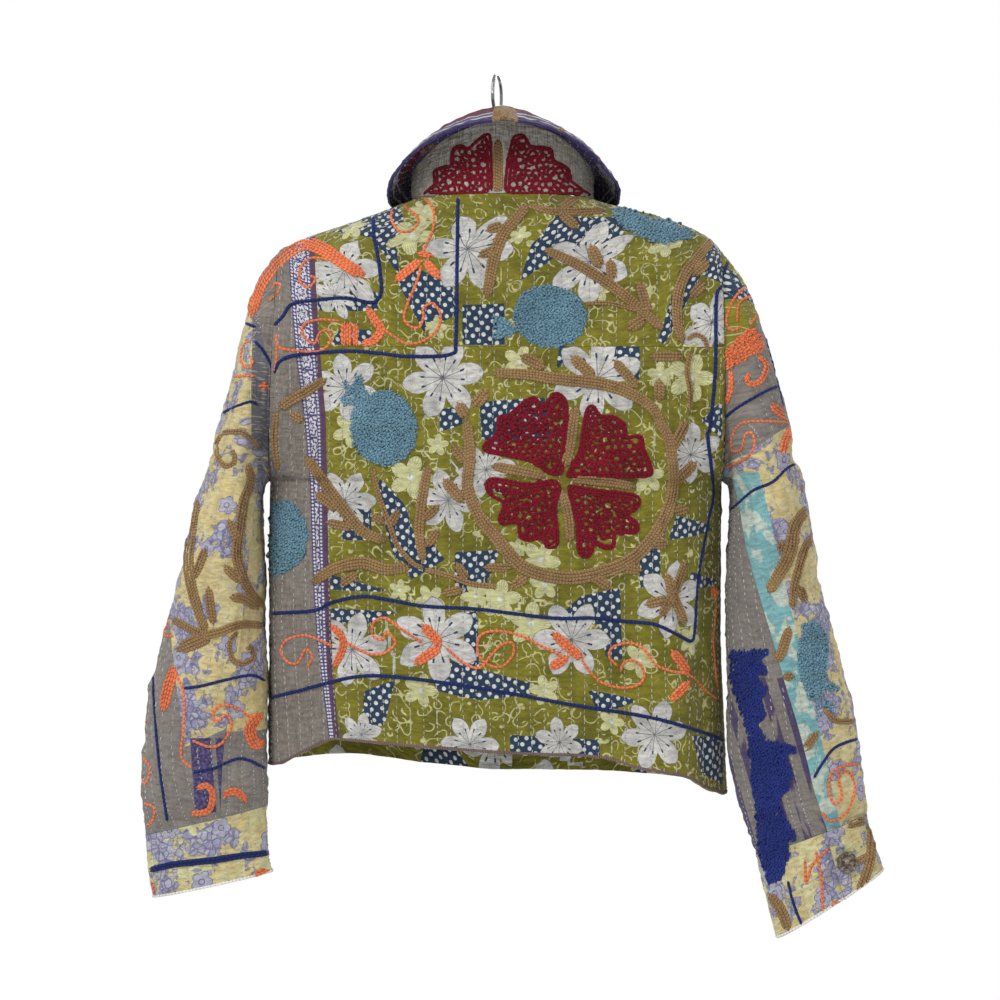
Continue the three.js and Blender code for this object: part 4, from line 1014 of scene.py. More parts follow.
def sleeveMaterial(name, side):
    w, taupe = plainCloth(name, inks["grey"], inks["taupe"])
    flat = w.flat()
    x, z, _ = w.marks("place")
    yellow = lavenderPrint(w, w.mottled(60.0, 2.0, 0.35, 0.7, inks["yellow"], inks["yellowPale"]))
    if side == "right":
        olive = squiggles(w, inks["olive"], inks["cream"])
        olive = w.mix(w.step(w.marks("patches")[0], -0.2, 0.2), olive, dotted(w))
        # from the armhole down: olive print, grey, then the yellow print
        lean = z - (x - 208.0) * 1.04
        colour = w.mix(w.step(lean, -270.0, -270.6), olive, taupe)
        rough = (w.noise(flat, 30.0, 1.0) - 0.5) * 3.0
        lean = z - (x - 208.0) * 0.62
        colour = w.mix(w.step(lean + rough, -367.0, -367.6), colour, yellow)
        # a pale turquoise strip along the seam
        teal = w.step(w.noise(w.stretch(flat, (60.0, 45.0, 1.0)), 1.0, 3.0), 0.50, 0.56)
        strip = x - 231.0 + (z + 366.0) * 0.235
        water = w.mix(teal, inks["turquoise"], inks["turquoisePale"])
        colour = w.mix(w.step(strip, 8.0, 7.2) * w.step(z, -372.0, -373.0), colour, water)
    else:
        # the lower outside of this sleeve is grey, and so is all of it above the cuff
        line = x + (z + 481.0) * 0.146
        outside = w.step(line, -307.0, -307.6) * w.step(z, -455.0, -456.0)
        low = w.calc("MAXIMUM", outside, w.step(z - (x + 270.0) * 0.45, -617.0, -617.6))
        colour = w.mix(low, yellow, taupe)
        beside = x + (z + 640.0) * 0.06
        first = w.step(beside, -280.6, -280.0) * w.step(beside, -261.0, -261.6)
        second = w.step(beside, -257.5, -257.0) * w.step(beside, -250.0, -250.6)
        patch = w.step(z, -616.0, -616.6) * w.step(z, -686.0, -685.4) * w.calc("MAXIMUM", first, second)
        colour = w.mix(patch, colour, w.mottled(400.0, 2.0, 0.4, 0.7, inks["purple"], inks["lavenderLine"]))
        lace = w.cells(flat, 520.0, 0.6)["Distance"]
        specks = w.mix(w.step(lace, 0.42, 0.30), (0.13, 0.13, 0.15), (0.33, 0.31, 0.24))
        strip = w.step(x, -226.0, -225.4) * w.step(z, -352.0, -351.4)
        colour = w.mix(strip, colour, specks)
        # by the shoulder the sleeve has the same taupe as the body
        head = z + (x + 221.0) * 4.8
        body = w.slubbed(900.0, 0.7, inks["taupe"], inks["taupeDark"])
        colour = w.mix(w.step(x, -221.6, -221.0) * w.step(head, -224.6, -224.0), colour, body)
    return w.finish(colour)


def underMaterial(name, side):
    w, taupe = plainCloth(name, inks["grey"], inks["taupe"])
    x, z, _ = w.marks("place")
    lean = x + z * 0.3
    stripes = w.step(w.calc("SINE", lean * 0.36), 0.2, 0.3)
    worn = w.step(w.noise(w.stretch(w.flat(), (60.0, 14.0, 1.0)), 1.0, 3.0), 0.40, 0.46)
    amount = stripes * worn * w.step(z, -560.0, -561.0)
    if side == "right":
        return w.finish(w.mix(amount * 0.85, taupe, inks["purple"]))
    return w.finish(w.mix(w.step(z, -610.0, -611.0), lavenderPrint(w, inks["yellow"]), taupe))


def cuffMaterial(name):
    w = Weaver(name)
    ground = w.mottled(60.0, 2.0, 0.35, 0.7, inks["yellow"], inks["leafPale"])
    return w.finish(lavenderPrint(w, ground))


def collarMaterial(name):
    # grey stand; the fall is pieced from strips that run along it
    w, taupe = plainCloth(name, inks["stand"], inks["taupe"])
    flat = w.flat()
    down, turn, _ = w.marks("collarPlace")
    down = down + (w.noise(flat, 18.0, 1.0) - 0.5) * 0.05
    wine = w.mottled(500.0, 2.0, 0.35, 0.7, (0.16, 0.008, 0.02), (0.07, 0.004, 0.012))
    fine = w.step(w.calc("SINE", w.split(flat)[1] * 1500.0), 0.3, 0.7)
    violet = w.mix(fine * 0.6, inks["violet"], inks["lavenderLine"])
    night = w.mottled(300.0, 2.0, 0.4, 0.7, inks["purple"], (0.035, 0.026, 0.085))
    pale = w.mottled(240.0, 2.0, 0.42, 0.6, inks["band"], inks["lavender"])
    tan = w.mottled(420.0, 2.0, 0.4, 0.65, (0.30, 0.19, 0.09), (0.17, 0.10, 0.05))
    # violet, with two pale stripes and its darkest strip along the edge
    stripe = w.calc("MINIMUM", abs(down - 0.83), abs(down - 0.915))
    colour = w.mix(w.step(down, 0.93, 0.935), violet, night)
    colour = w.mix(w.step(stripe, 0.013, 0.009), colour, inks["dot"])
    # strips and patches let in: from and to around the neck, from and to down the fall
    for start, end, top, low, patch in ((-1.05, 0.34, 0.52, 0.80, wine), (-0.95, -0.66, 0.80, 0.93, pale),
                                        (0.33, 0.64, 0.52, 0.80, tan),
                                        (0.85, 1.06, 0.60, 0.93, pale), (-0.07, 0.09, 0.52, 1.2, tan)):
        across = w.step(turn, start, start + 0.008) * w.step(turn, end, end - 0.008)
        inside = across * (w.step(down, top, top + 0.01) * w.step(down, low, low - 0.01))
        colour = w.mix(inside, colour, patch)
    return w.finish(w.mix(w.step(down, 0.40, 0.405), taupe, colour))


collar = cloths["collar_cloth"]
down, around = np.meshgrid(np.linspace(0, 1, len(collar["u"])), at, indexing="ij")
writeMarks(collar, "collarPlace", down, around)

hanging = ["hanger_body"]
dress("back_yoke_cloth", "back_yoke", backPrint, backCloth["yoke"], hanging)
dress("back_panel_cloth", "back_panel", backPrint, backCloth["panel"], ["back_yoke_cloth"])
dress("left_front_cloth", "left_front", frontPrint, frontCloth, hanging)
dress("right_front_cloth", "right_front", frontPrint, frontCloth, hanging)
for sleeve, shoulder in (("left", "left_front_cloth"), ("right", "right_front_cloth")):
    dress(f"{sleeve}_top_sleeve_cloth", f"{sleeve}_top_sleeve",
          sleeveMaterial(f"pieced print, {sleeve} sleeve", sleeve),
          sleeveCloth["top"], [shoulder])
    dress(f"{sleeve}_under_sleeve_cloth", f"{sleeve}_under_sleeve",
          underMaterial(f"grey cloth, {sleeve} under sleeve", sleeve),
          sleeveCloth[f"{sleeve}Under"], [shoulder])
    dress(f"{sleeve}_cuff_cloth", f"{sleeve}_cuff", cuffMaterial(f"yellow print, {sleeve} cuff"),
          cuffCloth, [f"{sleeve}_top_sleeve_cloth"])
dress("collar_cloth", "collar", collarMaterial("pieced collar cloth"), collarCloth,
      ["back_yoke_cloth"])
print("cloth pieces sewn")

# the hanger, its hook and the floor
black = Weaver("black plastic", 0.42, 0.0)
place = black.take("TexCoord", "Object")
scuffs = black.step(black.noise(place, 60.0, 4.0), 0.5, 0.7)
black.shade("Base Color", black.mix(scuffs, (0.016, 0.016, 0.017), (0.04, 0.04, 0.041)))
black.relief(0.25, 0.0004, black.noise(place, 900.0, 3.0))
steel = Weaver("chromed wire", 0.2, 0.0)
steel.shade("Metallic", 1.0)
place = steel.take("TexCoord", "Object")
worn = steel.noise(place, 400.0, 3.0)
steel.shade("Base Color", steel.mix(steel.step(worn, 0.55, 0.7), (0.30, 0.31, 0.33), (0.20, 0.20, 0.20)))
steel.shade("Roughness", steel.spread(worn, 0.3, 0.7, 0.14, 0.32))
for name, material in (("hanger_body", black.material), ("hanger_hook", steel.material)):
    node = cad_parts[name]
    node.data.materials.clear()
    node.data.materials.append(material)

bpy.ops.object.select_all(action="DESELECT")
bpy.ops.mesh.primitive_plane_add(size=3.2, location=(0, 0, -1.15))
floor = bpy.context.active_object
floor.name = "studio_floor"
paper = Weaver("white paper", 0.9, 0.0)
clouds = paper.noise(paper.take("TexCoord", "Object"), 3.0)
paper.shade("Base Color", paper.mix(clouds, (0.86, 0.86, 0.86), (0.9, 0.9, 0.9)))
floor.data.materials.append(paper.material)

# a white surround for the picture, and a dimmer one for the light, so the cloth's relief shows
studio = dict(shown=1.0, ambient=0.62)
world = bpy.data.worlds.new("studio")
bpy.context.scene.world = world
world.use_nodes = True
sky = world.node_tree.nodes["Background"]
sky.inputs[0].default_value = (1, 1, 1, 1)
ray = world.node_tree.nodes.new("ShaderNodeLightPath")
level = world.node_tree.nodes.new("ShaderNodeMapRange")
level.inputs["To Min"].default_value = studio["ambient"]
level.inputs["To Max"].default_value = studio["shown"]
world.node_tree.links.new(ray.outputs["Is Camera Ray"], level.inputs["Value"])
world.node_tree.links.new(level.outputs[0], sky.inputs[1])
bpy.context.scene.view_settings.view_transform = "Standard"
lamps = dict(key=((-1.7, -2.1, 1.7), 1.1, 74.0), side=((2.3, -1.3, 0.9), 1.2, 16.0),
             front=((0.8, 2.4, 1.1), 1.6, 48.0))
for name, (place, size, power) in lamps.items():
    data = bpy.data.lights.new(name, "AREA")
    data.size, data.energy = size, power
    lamp = bpy.data.objects.new(name, data)
    lamp.location = place
    lamp.rotation_euler = (Vector((0, 0, -0.4)) - Vector(place)).to_track_quat("-Z", "Y").to_euler()
    bpy.context.scene.collection.objects.link(lamp)
print("studio ready")

trees = {name: BVHTree.FromObject(cloth["piece"], bpy.context.evaluated_depsgraph_get())
         for name, cloth in cloths.items()}
needle = np.random.default_rng(5)


def threadMaterial(name, colour, dark, stitch=0.0042, fuzz=0.35):
    w = Weaver(name, 0.85, 0.05)
    along, across, _ = w.split(w.flat())
    place = w.take("TexCoord", "Object")
    link = abs(w.calc("SINE", along * (math.pi / stitch) + abs(across) * 900.0))
    strands = w.calc("SINE", across * 9000.0)
    curl = w.noise(place, 1100.0, 2.0)
    tone = link * 0.65 + curl * 0.7
    # painted shade: the colour turns to the dark one in the dips between the chain links, where the relief is
    # low, and in random curls of the yarn
    colour = w.mix(w.step(tone, 0.30, 0.85), dark, colour)
    faded = w.noise(place, 35.0, 2.0)
    w.shade("Base Color", w.toned(colour, faded, 0.3, 0.7, 0.82, 1.12))
    w.relief(0.8, 0.0008, link + curl * (fuzz * 3) + strands * 0.12)
    return w.material


# each thread's second colour is the painted shade in the dips between its links, and the tone of its random
# curls
threads = dict(
    navy=threadMaterial("navy chain stitch", (0.012, 0.025, 0.13), (0.004, 0.008, 0.035)),
    red=threadMaterial("dark red stitching", (0.205, 0.002, 0.014), (0.06, 0.001, 0.005)),
    tan=threadMaterial("tan stitching", (0.33, 0.205, 0.09), (0.14, 0.078, 0.032), 0.003, 0.6),
    coral=threadMaterial("coral chain stitch", (0.80, 0.21, 0.085), (0.42, 0.085, 0.035)),
    blue=threadMaterial("dusty blue stitching", (0.165, 0.31, 0.395), (0.05, 0.11, 0.155), 0.0034, 0.7),
    royal=threadMaterial("royal blue stitching", (0.018, 0.035, 0.22), (0.006, 0.012, 0.08), 0.003, 0.6),
    cream=threadMaterial("cream running stitch", (0.78, 0.76, 0.70), (0.60, 0.58, 0.52), 0.0034, 0.2),
    edging=threadMaterial("mauve brown edging", (0.20, 0.13, 0.125), (0.08, 0.05, 0.05), 0.0022, 0.4),
)


def curve(path, each=2.6):
    # a smooth line through the path's points, at even steps
    p = np.array(path, float)
    if len(p) == 2:
        count = steps(np.linalg.norm(p[1] - p[0]), each)
        return p[0] + (p[1] - p[0]) * np.linspace(0, 1, count)[:, None]
    ghost = withGhosts(p)
    line = []
    for k in range(len(p) - 1):
        t = np.linspace(0, 1, steps(np.linalg.norm(p[k + 1] - p[k]), each))[:-1, None]
        line.append(curveBetween(*ghost[k:k + 4], t))
    return np.concatenate(line + [p[-1:]])


def lay(names, line, back=True):
    # drops a line onto the cloths, seen from the camera or from the front; returns places and normals
    eye = np.array(camera["place"])
    runs, places, normals = [], [], []
    for x, z in line:
        if back:
            aim = np.array([x * mm, camera["focusY"], z * mm])
            start, way = Vector(eye), Vector(unit(aim - eye))
        else:
            start, way = Vector((x * mm, 1.0, z * mm)), Vector((0, -1, 0))
        best = None
        for name in names:
            place, normal, _, away = trees[name].ray_cast(start, way)
            if place is not None and (best is None or away < best[2]):
                best = (np.array(place) / mm, np.array(normal), away)
        if best is None or (places and np.linalg.norm(best[0] - places[-1]) > 14):
            if len(places) > 2:
                runs.append((np.array(places), np.array(normals)))
            places, normals = [], []
        if best is not None:
            flip = -1 if best[1] @ np.array(way) > 0 else 1
            places.append(best[0])
            normals.append(best[1] * flip)
    if len(places) > 2:
        runs.append((np.array(places), np.array(normals)))
    return runs


def layOnGrid(name, rows, columns):
    # a run along a cloth's own grid, given as rows and columns with parts of steps
    cloth = cloths[name]
    limit = np.array(cloth["u"].shape) - 1.001
    r, c = np.clip(rows, 0, limit[0]), np.clip(columns, 0, limit[1])
    r0, c0 = np.floor(r).astype(int), np.floor(c).astype(int)
    fr, fc = (r - r0)[:, None], (c - c0)[:, None]
    pick = lambda field: ((field[r0, c0] * (1 - fc) + field[r0, c0 + 1] * fc) * (1 - fr)
                          + (field[r0 + 1, c0] * (1 - fc) + field[r0 + 1, c0 + 1] * fc) * fr)
    return pick(cloth["points"]), unit(pick(cloth["normals"]))


def sew(name, runs, width, rise, material, rough=0.12):
    # each run becomes a raised, rounded row of thread: runs hold places, normals and maybe widths
    vertices, faces, flat, base = [], [], [], 0
    section = [(-0.5, -0.25), (-0.42, 0.45), (-0.16, 0.95), (0.16, 0.95), (0.42, 0.45), (0.5, -0.25)]
    for places, normals, *wide in runs:
        count = len(places)
        wide = wide[0] if wide else np.full(count, width)
        ahead = unit(np.gradient(places, axis=0))
        beside = unit(np.cross(ahead, normals))
        along = needle.uniform(0, 60) + np.concatenate([[0],
                                                        np.cumsum(np.linalg.norm(np.diff(places, axis=0),
                                                                                 axis=1))])
        end = np.minimum(1, (np.minimum(np.arange(count), np.arange(count)[::-1]) + 0.35) / 1.4)
        jitter = needle.normal(0, rough, (count, 2))
        for s, (side, up) in enumerate(section):
            high = np.maximum(rise * up * (1 + jitter[:, 1]) * (end if up > 0 else 1), -0.3 * rise)
            point = places + beside * (side * wide * end + jitter[:, 0] * 0.6)[:, None] + normals * high[:,
                                                                                                         None]
            vertices.append(point)
            flat.append(np.stack([along, side * wide], axis=-1))
        ring = base + np.arange(6)[:, None] * count + np.arange(count)[None, :]
        for s in range(6):
            a, b = ring[s], ring[(s + 1) % 6]
            faces += np.stack([a[:-1], a[1:], b[1:], b[:-1]], axis=-1).tolist()
        faces += [ring[:, 0].tolist(), ring[::-1, -1].tolist()]
        base += 6 * count
    piece = meshPiece(name, np.concatenate(vertices), faces, np.concatenate(flat))
    piece.data.shade_smooth()
    pickOnly(piece)
    bpy.ops.object.mode_set(mode="EDIT")
    bpy.ops.mesh.select_all(action="SELECT")
    bpy.ops.mesh.normals_make_consistent(inside=False)
    bpy.ops.object.mode_set(mode="OBJECT")
    piece.select_set(False)
    piece.data.materials.append(material)
    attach(piece, "root")


def pace(length, back):
    return length if back else length * 1.4   # the front's rows have fewer points


def bough(names, path, wide, rows=4, back=True, taper=(0.75, 0.75)):
    # a thick limb of several rows of thread side by side, wider in its middle
    each = pace(2.8, back)
    line = curve(path, each)
    count = len(line)
    t = np.linspace(0, 1, count)
    shape = np.where(t < 0.5, taper[0] + (1 - taper[0]) * ease(t, 0, 0.4), taper[1] + (1 - taper[1])
                     * ease(1 - t, 0, 0.4))
    ahead = unit(np.gradient(line, axis=0))
    beside = np.stack([-ahead[:, 1], ahead[:, 0]], axis=-1)
    runs = []
    for k in range(rows):
        off = (k + 0.5) / rows - 0.5
        shift = beside * (off * wide * shape)[:, None]
        trim = int(round((1 - math.sqrt(1 - (2 * off) ** 2)) * wide / each))
        shifted = (line + shift)[trim:count - trim or None]
        for run in lay(names, shifted, back):
            runs.append((*run, np.full(len(run[0]), wide / rows * 1.18)))
    return runs


def openwork(names, outline, back=True, loop=7.0):
    # a petal: a doubled outline, and uneven loops packed inside it that leave holes
    outline = np.array(outline, float)
    middle = outline.mean(axis=0)
    inner = middle + (outline - middle) * (1 - 3.0 / np.linalg.norm(outline - middle, axis=1).mean())
    runs = [run for ring in (outline, inner) for run in lay(names, curve([*ring, ring[0]], pace(2.4, back)),
                                                            back)]
    low, high = outline.min(axis=0), outline.max(axis=0)
    for j, z in enumerate(np.arange(low[1], high[1], loop * 0.82)):
        for x in np.arange(low[0] + (j % 2) * loop / 2, high[0], loop):
            place = np.array([x, z]) + needle.uniform(-2.0, 2.0, 2)
            if insideOutline(place[None], outline)[0] > 1.8:
                size = loop * needle.uniform(0.34, 0.60) * np.array([1, needle.uniform(0.7, 1.1)])
                turn = needle.uniform(0, 6) + np.linspace(0, 2 * math.pi, 12 if back else 9)
                runs += lay(names, place + np.stack([np.cos(turn), np.sin(turn)], axis=-1) * size, back)
    return runs


def filled(names, outline, back=True, turn=0.5, row=2.4):
    # a solid area: wavering rows side by side, and loose curls worked over them
    outline = np.array(outline, float)
    spin = np.array([[math.cos(turn), -math.sin(turn)], [math.sin(turn), math.cos(turn)]])
    turned = outline @ spin
    low, high = turned.min(axis=0), turned.max(axis=0)
    runs = []
    for z in np.arange(low[1] + row / 2, high[1], row):
        x = np.arange(low[0], high[0], pace(2.4, back))
        wave = needle.uniform(0.5, 1.2) * np.sin(x * needle.uniform(0.7, 1.0) + needle.uniform(0, 6))
        line = np.stack([x, z + wave], axis=-1) @ spin.T
        keep = np.concatenate([[False], insideOutline(line, outline) > -0.3, [False]])
        starts, ends = np.flatnonzero(keep[1:] & ~keep[:-1]), np.flatnonzero(keep[:-1] & ~keep[1:])
        for start, end in zip(starts, ends):
            if end - start > 2:
                runs += lay(names, line[start:end], back)
    low, high = outline.min(axis=0), outline.max(axis=0)
    for _ in range(int(np.prod(high - low) / 34)):
        place = needle.uniform(low, high)
        if insideOutline(place[None], outline)[0] > 2.5:
            size, start = needle.uniform(1.9, 3.6), needle.uniform(0, 6)
            arc = start + np.linspace(0, needle.uniform(3.5, 6.2), 9 if back else 7)
            for places, normals in lay(names, place + np.stack([np.cos(arc), np.sin(arc)], axis=-1) * size,
                                       back):
                runs.append((places + normals * 0.9, normals, np.full(len(places), 2.0)))
    return runs


def oval(x, z, wide, high, lean=0.0):
    turn = np.linspace(0, 2 * math.pi, 15)[:-1]
    co, si = math.cos(lean), math.sin(lean)
    return [(x + wide * math.cos(t) * co - high * math.sin(t) * si,
             z + wide * math.cos(t) * si + high * math.sin(t) * co) for t in turn]


bodyBack = ["back_yoke_cloth", "back_panel_cloth"]
arms = ["left_top_sleeve_cloth", "left_under_sleeve_cloth", "right_top_sleeve_cloth",
        "right_under_sleeve_cloth"]
cuffs = ["left_cuff_cloth", "right_cuff_cloth"]

bodyWork = dict(
    navyWidth=3.6, navyRise=1.5,
    navy=charts(
        "-114,-130 -114,-152 -110,-173 -107,-202 -111,-213 -119,-215 -140,-211 -169,-213 -190,-217 "
        "-199,-229 -215,-244; "
        "-36,-118 -37,-184 -38,-249 -43,-263 -81,-265 -110,-262 -137,-260 -169,-262 -191,-265 -202,-271 "
        "-206,-281; "
        "-212,-503 -169,-500 -154,-493 -125,-487 -96,-491 -67,-496 -16,-499 51,-507 88,-507 117,-510 "
        "146,-513 168,-523 180,-528 183,-515 186,-471 195,-419 200,-389 195,-339 197,-331 202,-278 "
        "203,-213 208,-199; "
        "-210,-581 -182,-574 -127,-561 -71,-564 3,-575 68,-587 142,-599 188,-612 210,-620"),
    petals=charts(
        "58,-375 47,-372 29,-361 -9,-353 -11,-346 0,-336 2,-322 10,-320 24,-308 34,-303 43,-310 54,-299 "
        "64,-308 64,-339 61,-368; "
        "64,-376 76,-353 79,-336 83,-315 89,-311 96,-320 109,-321 118,-329 120,-339 133,-339 136,-351 "
        "143,-369 138,-376 103,-376 76,-376; "
        "53,-379 29,-383 -3,-378 -10,-384 -6,-393 6,-401 2,-415 6,-420 19,-418 21,-431 29,-435 43,-433 "
        "46,-441 55,-440 56,-427 54,-405 58,-386; "
        "66,-384 88,-388 126,-393 132,-401 126,-408 120,-411 130,-420 128,-428 110,-428 108,-441 99,-442 "
        "89,-438 86,-449 79,-450 75,-442 74,-420 68,-398"),
    petalThread=3.3, petalRise=1.7,
    boughs=limbs(
        "10 3 73,-311 67,-351 62,-368; 9 3 -6,-366 21,-371 46,-376; 9 3 68,-378 103,-381 129,-386; "
        "9 3 60,-388 66,-413 68,-438; "
        "12 4 -28,-324 -25,-356 -27,-387 -15,-415 -1,-432 18,-455 36,-465 66,-470 95,-465 124,-453 "
        "146,-430 160,-401 163,-372 158,-339 148,-324; 10 3 -41,-347 -27,-365; 10 3 -50,-378 -30,-401; "
        "11 3 -37,-307 -27,-323; 11 3 -8,-295 -22,-312; 8 3 -13,-460 14,-461; 9 3 11,-480 29,-468; "
        "9 3 106,-480 88,-468; 9 3 135,-463 114,-461; 9 3 160,-438 143,-440; 9 3 179,-405 160,-409; "
        "10 3 185,-362 163,-383; 10 3 176,-324 161,-353; 9 3 175,-453 166,-478 151,-507; "
        "9 3 157,-465 163,-486 175,-514; 9 3 136,-495 160,-489; "
        "11 4 -4,-280 29,-282 58,-286 95,-290 121,-298 143,-312 154,-332; 10 3 21,-264 46,-276; "
        "10 3 68,-264 91,-285; 9 3 108,-268 131,-295; 10 3 150,-285 150,-308; "
        "10 4 44,-166 73,-179 96,-193 117,-208 138,-226 154,-240; 11 3 86,-161 96,-184; "
        "9 3 105,-174 106,-196; 9 3 131,-195 141,-227; 10 3 120,-241 138,-228; "
        "4 2 81,-216 105,-216 132,-223; 10 4 203,-152 188,-171 173,-191 167,-213 167,-234 172,-253; "
        "9 3 197,-176 180,-191; 9 3 193,-196 178,-211; 4 2 176,-250 183,-245 192,-249 195,-261; "
        "5 2 179,-261 176,-278 179,-298 178,-315; 9 3 141,-265 173,-265; "
        "11 4 29,-124 17,-138 6,-151 -2,-171 -6,-191 -10,-211; 9 3 -11,-149 7,-143; 8 3 -18,-173 3,-163; "
        "7 3 29,-124 43,-129 56,-131 79,-131 101,-130; 8 3 56,-130 77,-116; 9 3 57,-131 76,-147; "
        "9 3 -157,-285 -172,-295 -193,-307 -202,-315; 8 3 -193,-317 -177,-326; "
        "6 2 -204,-315 -206,-342 -203,-370; 11 4 -177,-358 -162,-378 -146,-401 -125,-426 -102,-436; "
        "9 3 -169,-390 -146,-408; 8 3 -159,-418 -132,-424; "
        "5 2 -115,-368 -109,-395 -100,-418 -92,-440 -78,-456 -68,-461; 8 3 -90,-406 -100,-424; "
        "7 3 -117,-411 -102,-421; 9 3 -63,-364 -69,-395 -72,-427 -68,-456; 8 3 -53,-402 -70,-418; "
        "8 3 -53,-424 -67,-442; 11 4 -171,-475 -152,-462 -125,-456 -103,-462 -80,-460; "
        "8 3 -146,-477 -127,-464; 5 2 -67,-462 -44,-468 -25,-475 0,-478; 8 3 -38,-455 -27,-473; "
        "8 3 -52,-485 -30,-480"),
    boughRise=1.8,
    fruit=[
        oval(-105, -331, 33, 36), oval(49, -228, 36, 30),
        chart(
            "104,-122 118,-123 132,-125 160,-133 186,-144 180,-156 165,-160 146,-161 132,-155 117,-148 "
            "105,-135"),
        chart("-212,-401 -191,-397 -177,-411 -172,-430 -179,-453 -196,-467 -212,-471 -214,-435"),
        chart(
            "-132,-294 -133,-284 -130,-279 -124,-281 -121,-291 -117,-303 -121,-311 -132,-310 -142,-312 "
            "-147,-307 -146,-301 -141,-299 -135,-302 -143,-294 -144,-288 -139,-285 -134,-291"),
        chart("-7,-229 3,-227 16,-233 21,-244 3,-248 -7,-250 -1,-239"),
    ],
    fruitRise=1.7,
    coralThick=limbs(
        "13 5 -228,-229 -221,-205 -214,-191 -199,-173 -179,-161 -159,-167 -140,-180 -122,-191; "
        "10 3 -179,-152 -177,-163; 8 3 -95,-196 -70,-175; 8 3 -52,-194 -68,-175; 6 3 -75,-169 -58,-172; "
        "8 3 -121,-218 -112,-233 -107,-240 -114,-250 -127,-254; 5 2 -142,-233 -142,-255; "
        "5 2 -137,-233 -137,-256; 5 2 -131,-234 -131,-256; 7 3 -154,-512 -142,-530 -151,-554; "
        "9 3 -70,-512 -58,-525 -51,-533; 9 3 -77,-550 -51,-533; 9 3 51,-520 67,-535 80,-545; "
        "9 3 48,-554 67,-542; 9 3 161,-536 171,-549 178,-560; 8 3 160,-584 179,-565; "
        "8 3 -204,-244 -204,-253; 7 3 200,-476 202,-491"),
    coralThin=charts(
        "-152,-176 -172,-174 -182,-184 -182,-196 -174,-201 -168,-193 -174,-190; "
        "-211,-214 -202,-205 -201,-198 -206,-198 -208,-204; "
        "-83,-129 -75,-134 -73,-142 -80,-149 -90,-149 -97,-140 -97,-130 -92,-122 -81,-118 -69,-118 "
        "-59,-129 -59,-146 -65,-161 -70,-170; -83,-129 -85,-124 -80,-118; "
        "-70,-181 -75,-198 -82,-214 -86,-228 -82,-236 -72,-238 -68,-228 -68,-220 -59,-216 -52,-228 "
        "-56,-241 -69,-251 -84,-253 -96,-246 -106,-239; "
        "-146,-232 -165,-231 -179,-236 -179,-246 -169,-253 -164,-243 -156,-241 -154,-251 -164,-260 "
        "-184,-260 -202,-256 -204,-245; -204,-256 -204,-268 -206,-279; "
        "-176,-554 -171,-542 -177,-536 -184,-548 -193,-548 -200,-537 -194,-527 -179,-523 -165,-527 "
        "-152,-533; "
        "-140,-529 -122,-539 -106,-540 -94,-530 -102,-520 -106,-527 -115,-523 -114,-511 -103,-507 "
        "-89,-517 -69,-530; "
        "-47,-535 -30,-549 -16,-553 -6,-542 4,-532 14,-530 15,-540 6,-551 -6,-551 -17,-541 -16,-524 "
        "-1,-519 21,-523 41,-533 61,-542; "
        "78,-546 93,-564 111,-571 128,-570 136,-562 133,-551 124,-546 117,-549 114,-557; "
        "112,-552 104,-543 107,-534 123,-530 136,-536 147,-550 161,-556 178,-560 193,-574 204,-582; "
        "203,-492 201,-513 200,-530 202,-554 204,-572"),
    coralWidth=2.6, coralRise=1.2,
)

